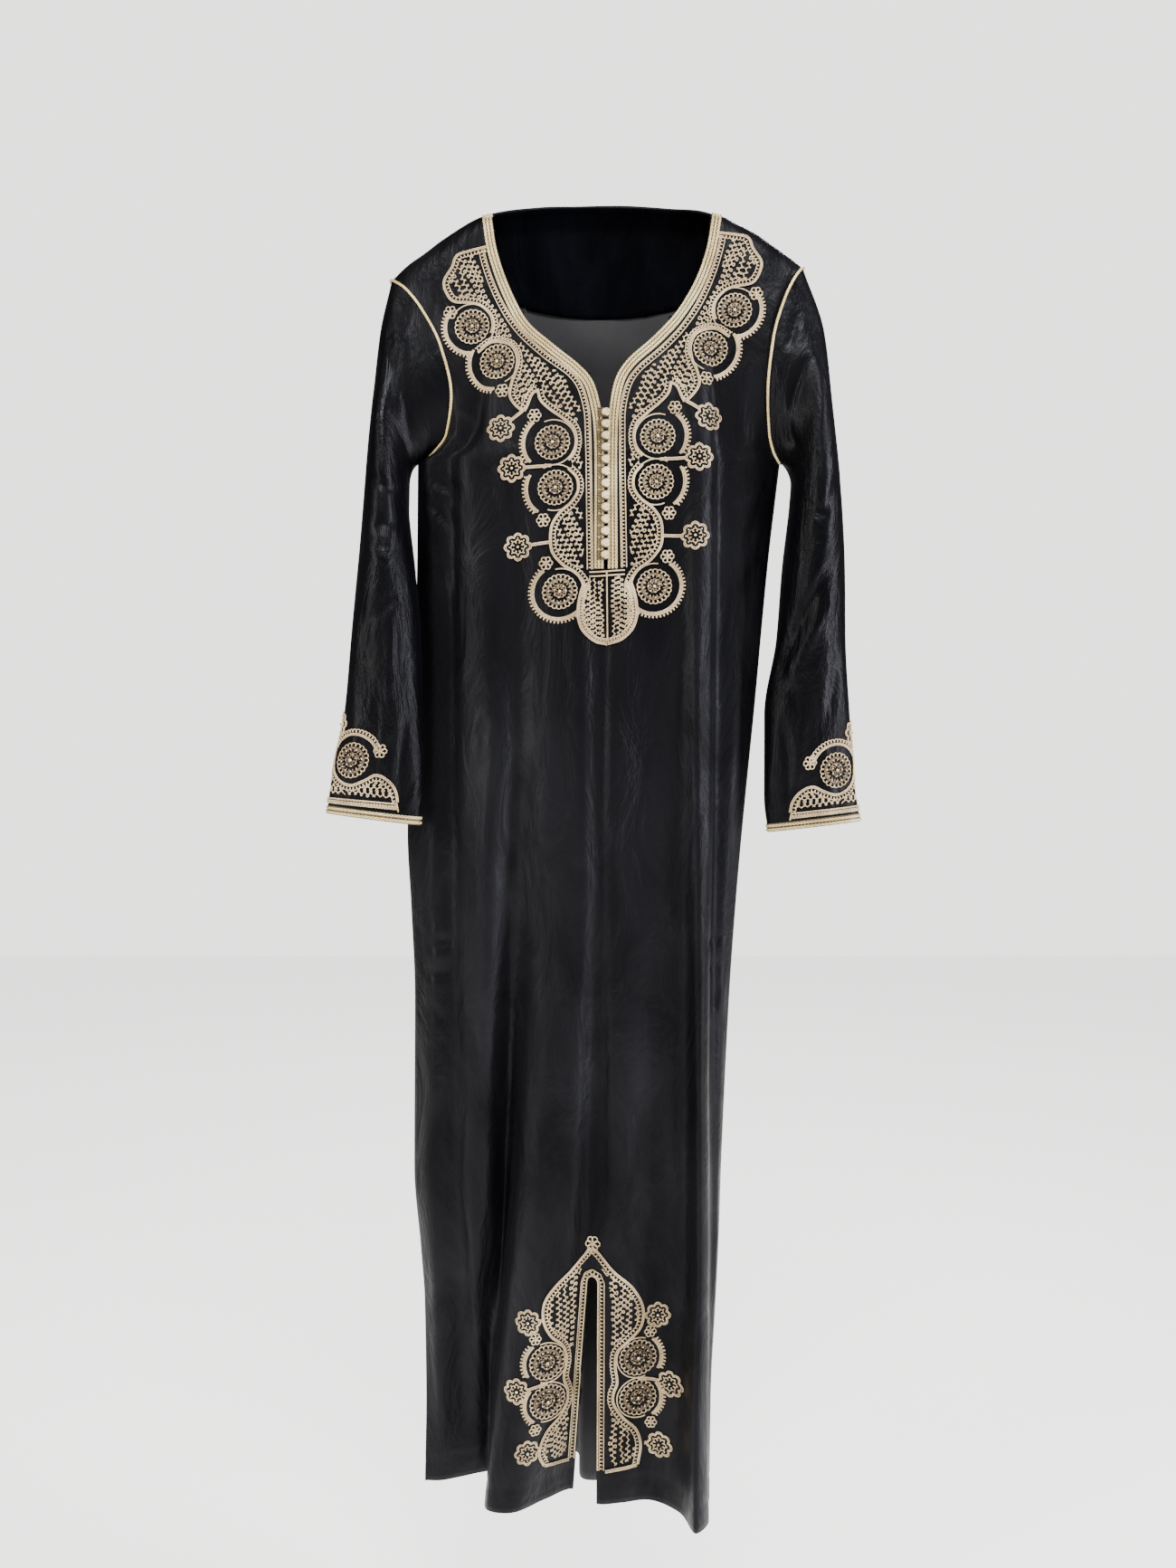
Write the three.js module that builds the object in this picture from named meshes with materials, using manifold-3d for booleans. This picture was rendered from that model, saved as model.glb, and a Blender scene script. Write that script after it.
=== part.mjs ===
// A long velvet Moroccan kaftan that hangs filled out, with nothing inside it.
// Millimetres, +Z up. The front faces -Y. The origin is where the shoulders hold it: the middle
// of the neck, on the plane of the side and shoulder seams.
import * as THREE from 'three';
import { mergeVertices } from 'three/addons/utils/BufferGeometryUtils.js';
import Module from 'manifold-3d';

const wasm = await Module();
wasm.setup();

// ---- driving dimensions ----
const WALL = 1.6; // velvet, doubled by its seam allowances and hems
const GAP = 0.3; // between pieces that meet
const TRIM = 1.2; // braid and embroidery above the velvet
const UNDERARM = -280;
const HEM = -1416;
const ROLL = 18; // how far the cloth rolls over the shoulder before it falls
const YOKE_DEPTH = 18; // front and back stand this far from the shoulder seam
const ARM_SWELL = 16; // more depth halfway down each armhole
const SWELL_UNTIL = 30; // folds that stand out this far get none of that swell
const SHOULDER_DROOP = 0.18; // share of the shoulder's fall that comes only at its tip
const SIDE_REACH = 60; // how far the side seam's curve pulls the folds beside it
const SLEEVE_GAP = 0.4; // between the armhole's edge and the sleeve's
const YOKE_ROWS = 9;
const YOKE_CROWDING = 1.3; // rows of the yoke crowd towards the shoulder
const SKIRT_ROWS = 14;
const FOLD_STEPS = 2; // points to each space between fold lines
const REACH = 160; // how far a cutting prism runs to the front and to the back
const PAST_EDGE = { top: 60, hem: 10 }; // how far openings run on past the cloth's edges
const STATIONS = { z: [-300, -700, -1080, HEM] }; // chest, hip, knee, hem

// Outline of the body below the arms: height, left seam, right seam.
const OUTLINE = columns(['z', 'left', 'right'], [
  [UNDERARM, -203, 197], [-390, -204, 184], [-550, -209, 169], [-690, -215, 155],
  [-770, -211, 148], [-870, -207, 141], [-1060, -208, 132], [-1150, -201, 129],
  [-1210, -197, 126], [-1310, -196, 121], [HEM, -198, 119],
]);

// Armhole seam: share of the way from shoulder to underarm, left and right.
const ARMHOLE = columns(['down', 'left', 'right'], [
  [0, -232, 222], [0.08, -213, 210], [0.2, -195, 198], [0.4, -175, 186],
  [0.65, -164, 181], [0.85, -170, 184], [0.95, -186, 190], [1, -203, 197],
]);
const BACK_ARM_STRAIGHT = 0.3; // how much straighter the back armhole is cut

// Shoulder line: neck point and shoulder point on each side.
const SHOULDER = {
  left: { neck: [-125, -4], point: [-232, -80] },
  right: { neck: [127, -5], point: [222, -66] },
};
const BACK_NECK_RISE = 9;
const BACK_NECK_ROUND = 0.6; // below 1 the rise is flat-topped

// Folds, left to right: x at the four stations, then how far each stands out of the seam plane.
const FOLD_COLUMNS = ['name', 'x0', 'x1', 'x2', 'x3', 'd0', 'd1', 'd2', 'd3'];
const FRONT_FOLDS = rows(FOLD_COLUMNS, [
  ['seam left', -204, -214, -207, -198, 0, -4, -8, -22],
  ['side left crown', -191, -186, -186, -180, 17, 17, 13, -22],
  ['side left hollow', -165, -163, -161, -157, 18, 16, 10, -30],
  ['front left edge', -152, -148, -140, -138, 33, 30, 22, -38],
  ['front left crown', -117, -122, -120, -127, 40, 45, 12, -40],
  ['deep hollow', -90, -93, -107, -127, 42, 33, -10, 2],
  ['middle left edge', -68, -66, -88, -124, 43, 46, 40, 36],
  ['middle crown', -46, -42, -66, -97, 44, 52, 55, 42],
  ['middle right', -24, -21, -33, -62, 44, 55, 52, 16],
  ['slit left', -8, -7, -15, -31, 43, 47, 38, -5],
  ['slit right', 2, 1, -2, -6, 43, 46, 39, 25],
  ['right crown', 16, 12, 15, 20, 43, 51, 46, 23],
  ['right slope', 58, 62, 66, 52, 42, 41, 35, 17],
  ['right hollow', 84, 86, 90, 83, 40, 41, 38, 42],
  ['pillar crown', 102, 103, 103, 97, 43, 54, 60, 80],
  ['pillar edge', 118, 116, 112, 112, 36, 45, 52, 62],
  ['side right hollow', 128, 123, 119, 114, 20, 19, 18, 30],
  ['side right crown', 158, 139, 127, 118, 17, 14, 10, 12],
  ['seam right', 192, 154, 131, 119, 0, 0, 0, -6],
]);
const BACK_FOLDS = rows(FOLD_COLUMNS, [
  ['seam left', -204, -214, -207, -198, 0, 4, 8, 22],
  ['side left crown', -188, -192, -186, -184, 18, 24, 32, 46],
  ['left hollow', -150, -150, -152, -152, 27, 28, 26, 54],
  ['left crown', -112, -108, -104, -108, 34, 42, 54, 80],
  ['middle left', -60, -58, -60, -62, 38, 42, 46, 88],
  ['middle hollow', -24, -26, -30, -27, 38, 36, 38, 84],
  ['inner fold left', 2, -2, -12, -20, 38, 36, 28, 26],
  ['inner fold right', 30, 24, 14, 10, 38, 40, 30, 28],
  ['right crown', 66, 62, 50, 42, 38, 46, 52, 76],
  ['right hollow', 102, 94, 84, 74, 36, 38, 40, 58],
  ['side right crown', 142, 124, 108, 100, 30, 36, 42, 56],
  ['side right', 174, 144, 123, 114, 18, 20, 22, 32],
  ['seam right', 192, 154, 131, 119, 0, 0, 0, 6],
]);

// Sleeves: outer and inner edge, middle of the depth (y) and half of it, from seam to cuff.
const SLEEVE_COLUMNS = ['outerX', 'outerZ', 'innerX', 'innerZ', 'y', 'deep'];
const SLEEVES = {
  left: columns(SLEEVE_COLUMNS, [
    [-232, -80, -203, -280, 0, 26], [-245, -140, -209, -289, -2, 34],
    [-253, -225, -212, -304, -5, 43], [-259, -310, -212, -332, -10, 47],
    [-265, -400, -203, -402, -22, 43], [-271, -480, -196, -480, -30, 35],
    [-279, -565, -194, -565, -34, 27], [-291, -628, -193, -632, -36, 20],
    [-296, -666, -196, -679, -36, 16],
  ]),
  right: columns(SLEEVE_COLUMNS, [
    [222, -66, 197, -280, 0, 26], [245, -138, 204, -288, -2, 34],
    [253, -215, 209, -303, -4, 43], [262, -310, 207, -328, -6, 47],
    [266, -392, 199, -394, -8, 43], [267, -475, 192, -476, -10, 35],
    [271, -555, 178, -560, -12, 27], [277, -635, 178, -645, -12, 20],
    [283, -675, 182, -687, -12, 16],
  ]),
};
const SLEEVE_STEPS = [
  0, 0.02, 0.06, 0.12, 0.2, 0.29, 0.38, 0.48, 0.58, 0.68, 0.78, 0.87, 0.94, 0.985, 1,
];
const SEAM_FADE = { under: 0.1, top: 0.32 }; // share of the sleeve that still follows the armhole
const CUFF_MOTIF_ROWS = [10, 13]; // rows of the sleeve that carry the cuff embroidery
const CUFF_MOTIF_TURN = 5; // columns each way round from the outer edge

// Edge of the front neck from each shoulder to the foot of the neck slit.
const NECK_EDGE = {
  left: [[-122, 6], [-119, -22], [-113, -57], [-97, -102], [-79, -135], [-54, -158],
    [-23, -184], [-10, -200], [-1, -231], [2, -262], [2, -404]],
  right: [[123, 6], [119, -22], [113, -54], [100, -90], [81, -122], [55, -151],
    [27, -177], [15, -196], [8, -228], [6, -262], [6, -404]],
};
const BRAID_WIDTH = 11;
const NECK_STEPS = 34;
const CORD = { radius: 1.6, steps: 44, sides: 6, lift: 0.9 };
const CORD_FORK = { from: 0.6, lift: 2 }; // how it stands further out under the arm
const KNOTS = {
  count: 13, top: -236, pitch: 12.8, x: 4, radius: 3.6, flat: 0.8, lift: 0.9, around: 8, high: 5,
};
const FACING = { halfWidth: 120, depth: 113, arch: 22, steps: 12, thickness: 1 };
const HEM_SLIT = { top: [-10, -1166], half: 5, left: -32, right: -6 };

// Embroidery: the worked field's outline and the round medallions and rosettes joined to it.
const CHEST = {
  left: {
    field: [[-127, -38], [-155, -57], [-171, -91], [-152, -114], [-117, -128], [-97, -164],
      [-92, -205], [-80, -236], [-50, -246], [-31, -265], [-30, -300], [-36, -340], [-56, -378],
      [-38, -402], [-30, -408], [4, -408], [4, -100]],
    discs: [[-140, -138, 26], [-115, -178, 26], [-53, -269, 24], [-49, -317, 24]],
    rosettes: [[-111, -251, 16, -70, -236], [-97, -296, 17, -50, -296], [-92, -380, 17, -50, -376]],
  },
  right: {
    field: [[132, -28], [158, -40], [180, -76], [160, -96], [122, -112], [102, -146], [99, -190],
      [92, -222], [62, -238], [40, -256], [38, -300], [44, -336], [66, -368], [48, -402],
      [5, -408], [5, -100]],
    discs: [[145, -120, 26], [116, -162, 26], [60, -261, 24], [59, -311, 24]],
    rosettes: [[113, -239, 16, 80, -221], [104, -285, 17, 55, -285], [98, -369, 17, 56, -368]],
  },
  tongue: {
    field: [[-38, -410], [-24, -422], [-26, -448], [-14, -474], [6, -487], [26, -474],
      [38, -448], [36, -422], [48, -410]],
    discs: [[-45, -429, 23], [56, -426, 23]],
    rosettes: [],
  },
};
const HEM_MOTIF = {
  left: {
    field: [[-11, -1126], [-40, -1158], [-64, -1190], [-63, -1212], [-42, -1236], [-37, -1275],
      [-40, -1310], [-62, -1348], [-66, -1374], [-34, -1378], [-20, -1180], [-13, -1162]],
    discs: [[-60, -1253, 22], [-60, -1299, 22]],
    rosettes: [[-79, -1206, 14, -52, -1206], [-91, -1283, 14, -60, -1276], [-86, -1351, 14, -50, -1351]],
  },
  right: {
    field: [[-9, -1126], [20, -1160], [47, -1195], [46, -1215], [16, -1240], [13, -1276],
      [15, -1312], [40, -1346], [36, -1374], [-3, -1378], [-1, -1180], [-7, -1162]],
    discs: [[36, -1258, 22], [35, -1299, 22]],
    rosettes: [[67, -1210, 14, 36, -1206], [74, -1282, 14, 36, -1278], [61, -1353, 14, 30, -1351]],
  },
};
const STALK = 4; // width of the stalk that carries a rosette
const SIDES = { medallion: 14, rosette: 10 };
const WELD = 1e-4; // points closer than this are one point

const FINISH = {
  velvet: { color: 0x14151b, roughness: 0.8, metalness: 0 },
  velvetInside: { color: 0x0b0d16, roughness: 0.9, metalness: 0 },
  braid: { color: 0xd2bd84, roughness: 0.45, metalness: 0.5 },
  soutache: { color: 0xa8906a, roughness: 0.5, metalness: 0.4 },
};

// ---- tables ----
function rows(names, table) {
  return table.map((row) => Object.fromEntries(names.map((name, i) => [name, row[i]])));
}

function columns(names, table) {
  return Object.fromEntries(names.map((name, i) => [name, table.map((row) => row[i])]));
}

// A smooth curve through a table's column that never overshoots its values.
function through(at, values, where) {
  const falling = at[0] > at[at.length - 1];
  const xs = falling ? [...at].reverse() : at;
  const ys = falling ? [...values].reverse() : values;
  const last = xs.length - 1;
  const x = Math.min(Math.max(where, xs[0]), xs[last]);
  let i = 0;
  while (i < last - 1 && x > xs[i + 1]) i += 1;
  const slope = (k) => (ys[k + 1] - ys[k]) / (xs[k + 1] - xs[k]);
  const tangent = (k) => {
    if (k === 0) return slope(0);
    if (k === last) return slope(last - 1);
    const [a, b] = [slope(k - 1), slope(k)];
    return a * b <= 0 ? 0 : (2 * a * b) / (a + b);
  };
  const width = xs[i + 1] - xs[i];
  const t = (x - xs[i]) / width;
  const ease = t * t * (3 - 2 * t);
  return ys[i] * (1 - ease) + ys[i + 1] * ease
    + width * (tangent(i) * t * (1 - t) ** 2 - tangent(i + 1) * t * t * (1 - t));
}

const mix = THREE.MathUtils.lerp;

// ---- the body's front and back ----
function shoulderHeight(x, rise) {
  const { left, right } = SHOULDER;
  const end = x < left.neck[0] ? left : x > right.neck[0] ? right : null;
  if (end) {
    const t = (x - end.neck[0]) / (end.point[0] - end.neck[0]);
    const fall = (1 - SHOULDER_DROOP) * t + SHOULDER_DROOP * t ** 4;
    return mix(end.neck[1], end.point[1], fall);
  }
  const t = (x - left.neck[0]) / (right.neck[0] - left.neck[0]);
  return mix(left.neck[1], right.neck[1], t) + rise * Math.sin(Math.PI * t) ** BACK_NECK_ROUND;
}

function rollOver(drop) {
  const left = 1 - Math.min(Math.max(drop, 0) / ROLL, 1);
  return Math.sqrt(1 - left * left);
}

// One row's fold points below the arms, slid so that its ends meet the outline.
function foldRow(folds, z) {
  const ends = ['left', 'right'].map((side) => through(OUTLINE.z, OUTLINE[side], z));
  const at = (fold, key) => through(STATIONS.z, [0, 1, 2, 3].map((i) => fold[key + i]), z);
  const x = folds.map((fold) => at(fold, 'x'));
  const slide = (value, end, own) => (end - own) * Math.max(0, 1 - Math.abs(value - own) / SIDE_REACH);
  const last = x.length - 1;
  return folds.map((fold, i) => ({
    x: x[i] + slide(x[i], ends[0], x[0]) + slide(x[i], ends[1], x[last]),
    deep: at(fold, 'd'),
  }));
}

function armholeX(side, down, straight) {
  const ends = [ARMHOLE[side][0], ARMHOLE[side][ARMHOLE[side].length - 1]];
  return mix(through(ARMHOLE.down, ARMHOLE[side], down), mix(ends[0], ends[1], down), straight);
}

// A row of the yoke, between the shoulder line (down = 0) and the underarms (down = 1).
function yokeRow(folds, down, facing, straight, rise) {
  const under = foldRow(folds, UNDERARM);
  const last = under.length - 1;
  const [left, right] = ['left', 'right'].map((side) => armholeX(side, down, straight));
  return under.map(({ x, deep }, i) => {
    const share = (x - under[0].x) / (under[last].x - under[0].x);
    const top = shoulderHeight(mix(SHOULDER.left.point[0], SHOULDER.right.point[0], share), rise);
    const z = mix(top, UNDERARM, down);
    const own = i === 0 || i === last ? 0 : deep;
    const swell = ARM_SWELL * Math.max(0, 1 - own / SWELL_UNTIL) * Math.sin(Math.PI * down);
    const out = rollOver(top - z) * mix(YOKE_DEPTH, own, down) + swell;
    return new THREE.Vector3(mix(left, right, share), facing * (out + GAP / 2), z);
  });
}

function skirtRow(folds, z, facing) {
  return foldRow(folds, z).map(({ x, deep }) => new THREE.Vector3(x, facing * (deep + GAP / 2), z));
}

function smoothRow(points) {
  const curve = new THREE.CatmullRomCurve3(points, false, 'centripetal');
  return curve.getPoints((points.length - 1) * FOLD_STEPS);
}

function panelGrid(folds, facing, straight, rise) {
  const grid = [];
  for (let i = 0; i <= YOKE_ROWS; i += 1) {
    grid.push(yokeRow(folds, (i / YOKE_ROWS) ** YOKE_CROWDING, facing, straight, rise));
  }
  for (let i = 1; i <= SKIRT_ROWS; i += 1) {
    grid.push(skirtRow(folds, mix(UNDERARM, HEM, i / SKIRT_ROWS), facing));
  }
  return grid.map(smoothRow);
}

// ---- walls ----
// Outward normals of a grid of points; a closed grid's columns go all the way round.
function gridNormals(grid, closed) {
  const wide = grid[0].length;
  return grid.map((row, r) => row.map((point, c) => {
    const up = grid[Math.max(r - 1, 0)][c];
    const down = grid[Math.min(r + 1, grid.length - 1)][c];
    const before = closed ? row[(c + wide - 1) % wide] : row[Math.max(c - 1, 0)];
    const after = closed ? row[(c + 1) % wide] : row[Math.min(c + 1, wide - 1)];
    const across = new THREE.Vector3().subVectors(after, before);
    const along = new THREE.Vector3().subVectors(down, up);
    return along.cross(across).normalize();
  }));
}

// Edges that lie on the seam plane get normals along that plane, so that both panels meet flat.
function seamNormals(normals) {
  const flatten = (normal) => normal.setY(0).normalize();
  normals[0].forEach(flatten);
  normals.slice(YOKE_ROWS).forEach((row) => [row[0], row[row.length - 1]].forEach(flatten));
  return normals;
}

function moved(grid, normals, distance) {
  return grid.map((row, r) => row.map((p, c) => p.clone().addScaledVector(normals[r][c], distance)));
}

// A closed wall between two grids of the same size, the first on the outside.
function wall(outer, inner, closed) {
  const high = outer.length;
  const wide = outer[0].length;
  const points = [...outer.flat(), ...inner.flat()];
  const index = [];
  const id = (layer, r, c) => (layer * high + r) * wide + (c % wide);
  const quad = (a, b, c, d) => index.push(a, b, c, a, c, d);
  const spans = closed ? wide : wide - 1;
  for (let r = 0; r < high - 1; r += 1) {
    for (let c = 0; c < spans; c += 1) {
      quad(id(0, r, c), id(0, r + 1, c), id(0, r + 1, c + 1), id(0, r, c + 1));
      quad(id(1, r, c), id(1, r, c + 1), id(1, r + 1, c + 1), id(1, r + 1, c));
    }
  }
  for (let c = 0; c < spans; c += 1) {
    quad(id(0, 0, c), id(0, 0, c + 1), id(1, 0, c + 1), id(1, 0, c));
    quad(id(0, high - 1, c), id(1, high - 1, c), id(1, high - 1, c + 1), id(0, high - 1, c + 1));
  }
  for (let r = 0; r < high - 1 && !closed; r += 1) {
    quad(id(0, r, 0), id(1, r, 0), id(1, r + 1, 0), id(0, r + 1, 0));
    quad(id(0, r, wide - 1), id(0, r + 1, wide - 1), id(1, r + 1, wide - 1), id(1, r, wide - 1));
  }
  const geometry = new THREE.BufferGeometry().setFromPoints(points);
  geometry.setIndex(index);
  return geometry;
}

// ---- solids that are cut or joined ----
function solid(geometry) {
  const bare = geometry.clone();
  ['normal', 'uv'].forEach((name) => bare.deleteAttribute(name));
  const merged = mergeVertices(bare, WELD);
  return new wasm.Manifold(new wasm.Mesh({
    numProp: 3,
    vertProperties: new Float32Array(merged.attributes.position.array),
    triVerts: new Uint32Array(merged.index.array),
  }));
}

function geometryOf(manifold) {
  const { vertProperties, triVerts } = manifold.getMesh();
  const geometry = new THREE.BufferGeometry();
  geometry.setAttribute('position', new THREE.BufferAttribute(vertProperties, 3));
  geometry.setIndex(new THREE.BufferAttribute(triVerts, 1));
  return geometry;
}

// A prism right through the garment along Y, over an outline given as x and z.
function prism(shape) {
  const geometry = new THREE.ExtrudeGeometry(shape, { depth: 2 * REACH, bevelEnabled: false });
  geometry.rotateX(Math.PI / 2);
  geometry.translate(0, REACH, 0);
  return solid(geometry);
}

function outline(points) {
  return new THREE.Shape(points.map(([x, z]) => new THREE.Vector2(x, z)));
}

function disc([x, z, radius], sides) {
  const ring = Array.from({ length: sides }, (_, i) => (2 * Math.PI * i) / sides);
  return outline(ring.map((a) => [x + radius * Math.cos(a), z + radius * Math.sin(a)]));
}

function bar(x0, z0, x1, z1, width) {
  const along = new THREE.Vector2(x1 - x0, z1 - z0).setLength(width / 2);
  return outline([[x0 - along.y, z0 + along.x], [x0 + along.y, z0 - along.x],
    [x1 + along.y, z1 - along.x], [x1 - along.y, z1 + along.x]]);
}

function motifPrism({ field, discs, rosettes }) {
  const parts = [outline(field), ...discs.map((d) => disc(d, SIDES.medallion))];
  rosettes.forEach(([x, z, radius, fromX, fromZ]) => {
    parts.push(disc([x, z, radius], SIDES.rosette), bar(x, z, fromX, fromZ, STALK));
  });
  return parts.map(prism).reduce((all, part) => all.add(part));
}

// ---- neck edge ----
function neckCurve(side) {
  const points = NECK_EDGE[side].map(([x, z]) => new THREE.Vector3(x, 0, z));
  return new THREE.CatmullRomCurve3(points, false, 'centripetal').getSpacedPoints(NECK_STEPS);
}

function neckBand(side, width) {
  const sign = side === 'left' ? -1 : 1;
  const edge = neckCurve(side);
  const outer = edge.map((p, i) => {
    const ahead = edge[Math.min(i + 1, edge.length - 1)];
    const behind = edge[Math.max(i - 1, 0)];
    const along = new THREE.Vector3().subVectors(ahead, behind).normalize();
    return [p.x - sign * along.z * width, p.z + sign * along.x * width];
  });
  return outline([...edge.map((p) => [p.x, p.z]), ...outer.reverse()]);
}

function neckOpening() {
  const left = neckCurve('left').map((p) => [p.x, p.z]);
  const right = neckCurve('right').map((p) => [p.x, p.z]);
  const above = ([x]) => [x, PAST_EDGE.top];
  return outline([above(left[0]), ...left, ...right.reverse(), above(right[right.length - 1])]);
}

function hemSlit() {
  const { top, half, left, right } = HEM_SLIT;
  const foot = HEM - PAST_EDGE.hem;
  return outline([[top[0] - half, top[1] - half], [left, foot], [right, foot],
    [top[0] + half, top[1] - half], [top[0], top[1]]]);
}

function facingOutline() {
  const { halfWidth, depth, arch, steps } = FACING;
  const lower = Array.from({ length: steps + 1 }, (_, i) => {
    const t = (2 * i) / steps - 1;
    return [t * halfWidth, -depth + arch * t * t];
  });
  return outline([[-halfWidth, PAST_EDGE.top], ...lower, [halfWidth, PAST_EDGE.top]]);
}

// ---- sleeves ----
// The armhole's points from the shoulder down the front to the underarm and up the back.
function armholeLoop(front, back, side) {
  const pick = (row) => (side === 'left' ? row[0] : row[row.length - 1]);
  const inward = (row) => (side === 'left' ? row[1] : row[row.length - 2]);
  const step = (panel, r) => ({
    point: pick(panel.grid[r]).clone(),
    normal: pick(panel.normals[r]).clone(),
    away: new THREE.Vector3().subVectors(pick(panel.grid[r]), inward(panel.grid[r])).normalize(),
  });
  const down = Array.from({ length: YOKE_ROWS + 1 }, (_, r) => step(front, r));
  const up = Array.from({ length: YOKE_ROWS - 1 }, (_, i) => step(back, YOKE_ROWS - 1 - i));
  [down[0], down[YOKE_ROWS]].forEach((end) => {
    end.point.y = 0;
    end.away.setY(0).normalize();
    end.normal.setY(0).normalize();
  });
  return [...down, ...up];
}

function sleeveGrid(side, loop) {
  const table = SLEEVES[side];
  const stations = table.y.map((_, i) => i / (table.y.length - 1));
  const at = (name, t) => through(stations, table[name], t);
  const ellipse = (t, angle) => {
    const lean = (1 + Math.cos(angle)) / 2;
    return new THREE.Vector3(
      mix(at('innerX', t), at('outerX', t), lean),
      at('y', t) - at('deep', t) * Math.sin(angle),
      mix(at('innerZ', t), at('outerZ', t), lean),
    );
  };
  return SLEEVE_STEPS.map((t) => loop.map(({ point, away }, i) => {
    const angle = (2 * Math.PI * i) / loop.length;
    const seam = point.clone().addScaledVector(away, SLEEVE_GAP);
    const offset = seam.sub(ellipse(0, angle));
    const reach = mix(SEAM_FADE.under, SEAM_FADE.top, (1 + Math.cos(angle)) / 2);
    const fade = Math.max(0, 1 - t / reach) ** 2;
    return ellipse(t, angle).addScaledVector(offset, fade);
  }));
}

function sleevePanel(side, front, back) {
  const loop = armholeLoop(front, back, side);
  const grid = sleeveGrid(side, loop);
  const turn = side === 'left' ? 1 : -1;
  const normals = gridNormals(grid, true).map((row) => row.map((n) => n.multiplyScalar(turn)));
  normals[0] = loop.map(({ normal }) => normal);
  return { grid, normals, loop };
}

// Wall over some rows and columns of a sleeve, moved out from it.
function sleeveWall(panel, side, from, to, low, high, pickColumns) {
  const cut = (distance) => moved(panel.grid, panel.normals, distance).slice(from, to + 1)
    .map((row) => (pickColumns ? pickColumns.map((c) => row[c]) : row));
  const layers = [cut(high), cut(low)];
  if (side === 'right') layers.forEach((layer) => layer.forEach((row) => row.reverse()));
  return wall(layers[0], layers[1], !pickColumns);
}

// ---- assembly ----
const group = new THREE.Group();

function add(name, geometry, finish) {
  const mesh = new THREE.Mesh(geometry, new THREE.MeshStandardMaterial(FINISH[finish]));
  mesh.name = name;
  group.add(mesh);
  return mesh;
}

function panel(folds, facing, straight, rise) {
  const grid = panelGrid(folds, facing, straight, rise);
  const normals = gridNormals(grid, false);
  if (facing > 0) normals.flat().forEach((n) => n.negate());
  return { grid, normals: seamNormals(normals), facing };
}

function layer({ grid, normals, facing }, low, high) {
  const layers = [moved(grid, normals, high), moved(grid, normals, low)];
  if (facing > 0) layers.forEach((half) => half.forEach((row) => row.reverse()));
  return wall(layers[0], layers[1], false);
}

const front = panel(FRONT_FOLDS, -1, 0, 0);
const back = panel(BACK_FOLDS, 1, BACK_ARM_STRAIGHT, BACK_NECK_RISE);
const frontCut = solid(layer(front, -WALL, 0))
  .subtract(prism(neckOpening())).subtract(prism(hemSlit()));
add('front', geometryOf(frontCut), 'velvet');
add('back', layer(back, -WALL, 0), 'velvet');

const facingLow = -WALL - GAP - FACING.thickness;
const facing = solid(layer(back, facingLow, -WALL - GAP)).intersect(prism(facingOutline()));
add('back_neck_facing', geometryOf(facing), 'velvetInside');

const trim = solid(layer(front, GAP, GAP + TRIM));
const braidPrism = {};
for (const side of ['left', 'right']) {
  braidPrism[side] = prism(neckBand(side, BRAID_WIDTH));
  add(`neck_braid_${side}`, geometryOf(trim.intersect(braidPrism[side])), 'braid');
}

const braidRoom = prism(neckBand('left', BRAID_WIDTH + GAP))
  .add(prism(neckBand('right', BRAID_WIDTH + GAP))).add(prism(neckOpening()));
for (const [name, motif] of Object.entries(CHEST)) {
  const worked = motifPrism(motif).subtract(braidRoom);
  add(`chest_embroidery_${name}`, geometryOf(trim.intersect(worked)), 'soutache');
}
for (const [name, motif] of Object.entries(HEM_MOTIF)) {
  add(`hem_embroidery_${name}`, geometryOf(trim.intersect(motifPrism(motif))), 'soutache');
}

for (const side of ['left', 'right']) {
  const sleeve = sleevePanel(side, front, back);
  const rowsHigh = SLEEVE_STEPS.length - 1;
  add(`sleeve_${side}`, sleeveWall(sleeve, side, 0, rowsHigh, -WALL, 0), 'velvet');
  add(`cuff_braid_${side}`, sleeveWall(sleeve, side, rowsHigh - 1, rowsHigh, GAP, GAP + TRIM), 'braid');
  const wide = sleeve.loop.length;
  const turn = Array.from({ length: 2 * CUFF_MOTIF_TURN + 1 }, (_, i) => (
    (i - CUFF_MOTIF_TURN + wide) % wide));
  const [from, to] = CUFF_MOTIF_ROWS;
  const motif = sleeveWall(sleeve, side, from, to - 1, GAP, GAP + TRIM, turn);
  add(`cuff_embroidery_${side}`, motif, 'soutache');
  add(`armhole_cord_${side}`, armholeCord(sleeve), 'braid');
}

// The cord over the armhole seam. Its ends stop at the narrow fork between sleeve and body.
function armholeCord({ loop, normals }) {
  const half = YOKE_ROWS;
  const spots = loop.map(({ point, normal }, i) => {
    const under = THREE.MathUtils.smoothstep(1 - Math.abs(i - half) / half, CORD_FORK.from, 1);
    const out = normal.clone().add(normals[2][i]).normalize();
    return point.clone().addScaledVector(out, CORD.radius + CORD.lift + CORD_FORK.lift * under);
  });
  const points = [...spots.slice(half + 1), ...spots.slice(0, half)];
  const path = new THREE.CatmullRomCurve3(points, false, 'centripetal');
  const round = disc([0, 0, CORD.radius], CORD.sides);
  return new THREE.ExtrudeGeometry(round, { steps: CORD.steps, extrudePath: path });
}

// Where a knot rests: on the front's surface at its own place.
function frontDepth(x, z) {
  const near = front.grid.flat().reduce((best, p) => (
    Math.hypot(p.x - x, p.z - z) < Math.hypot(best.x - x, best.z - z) ? p : best));
  return near.y;
}

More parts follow.
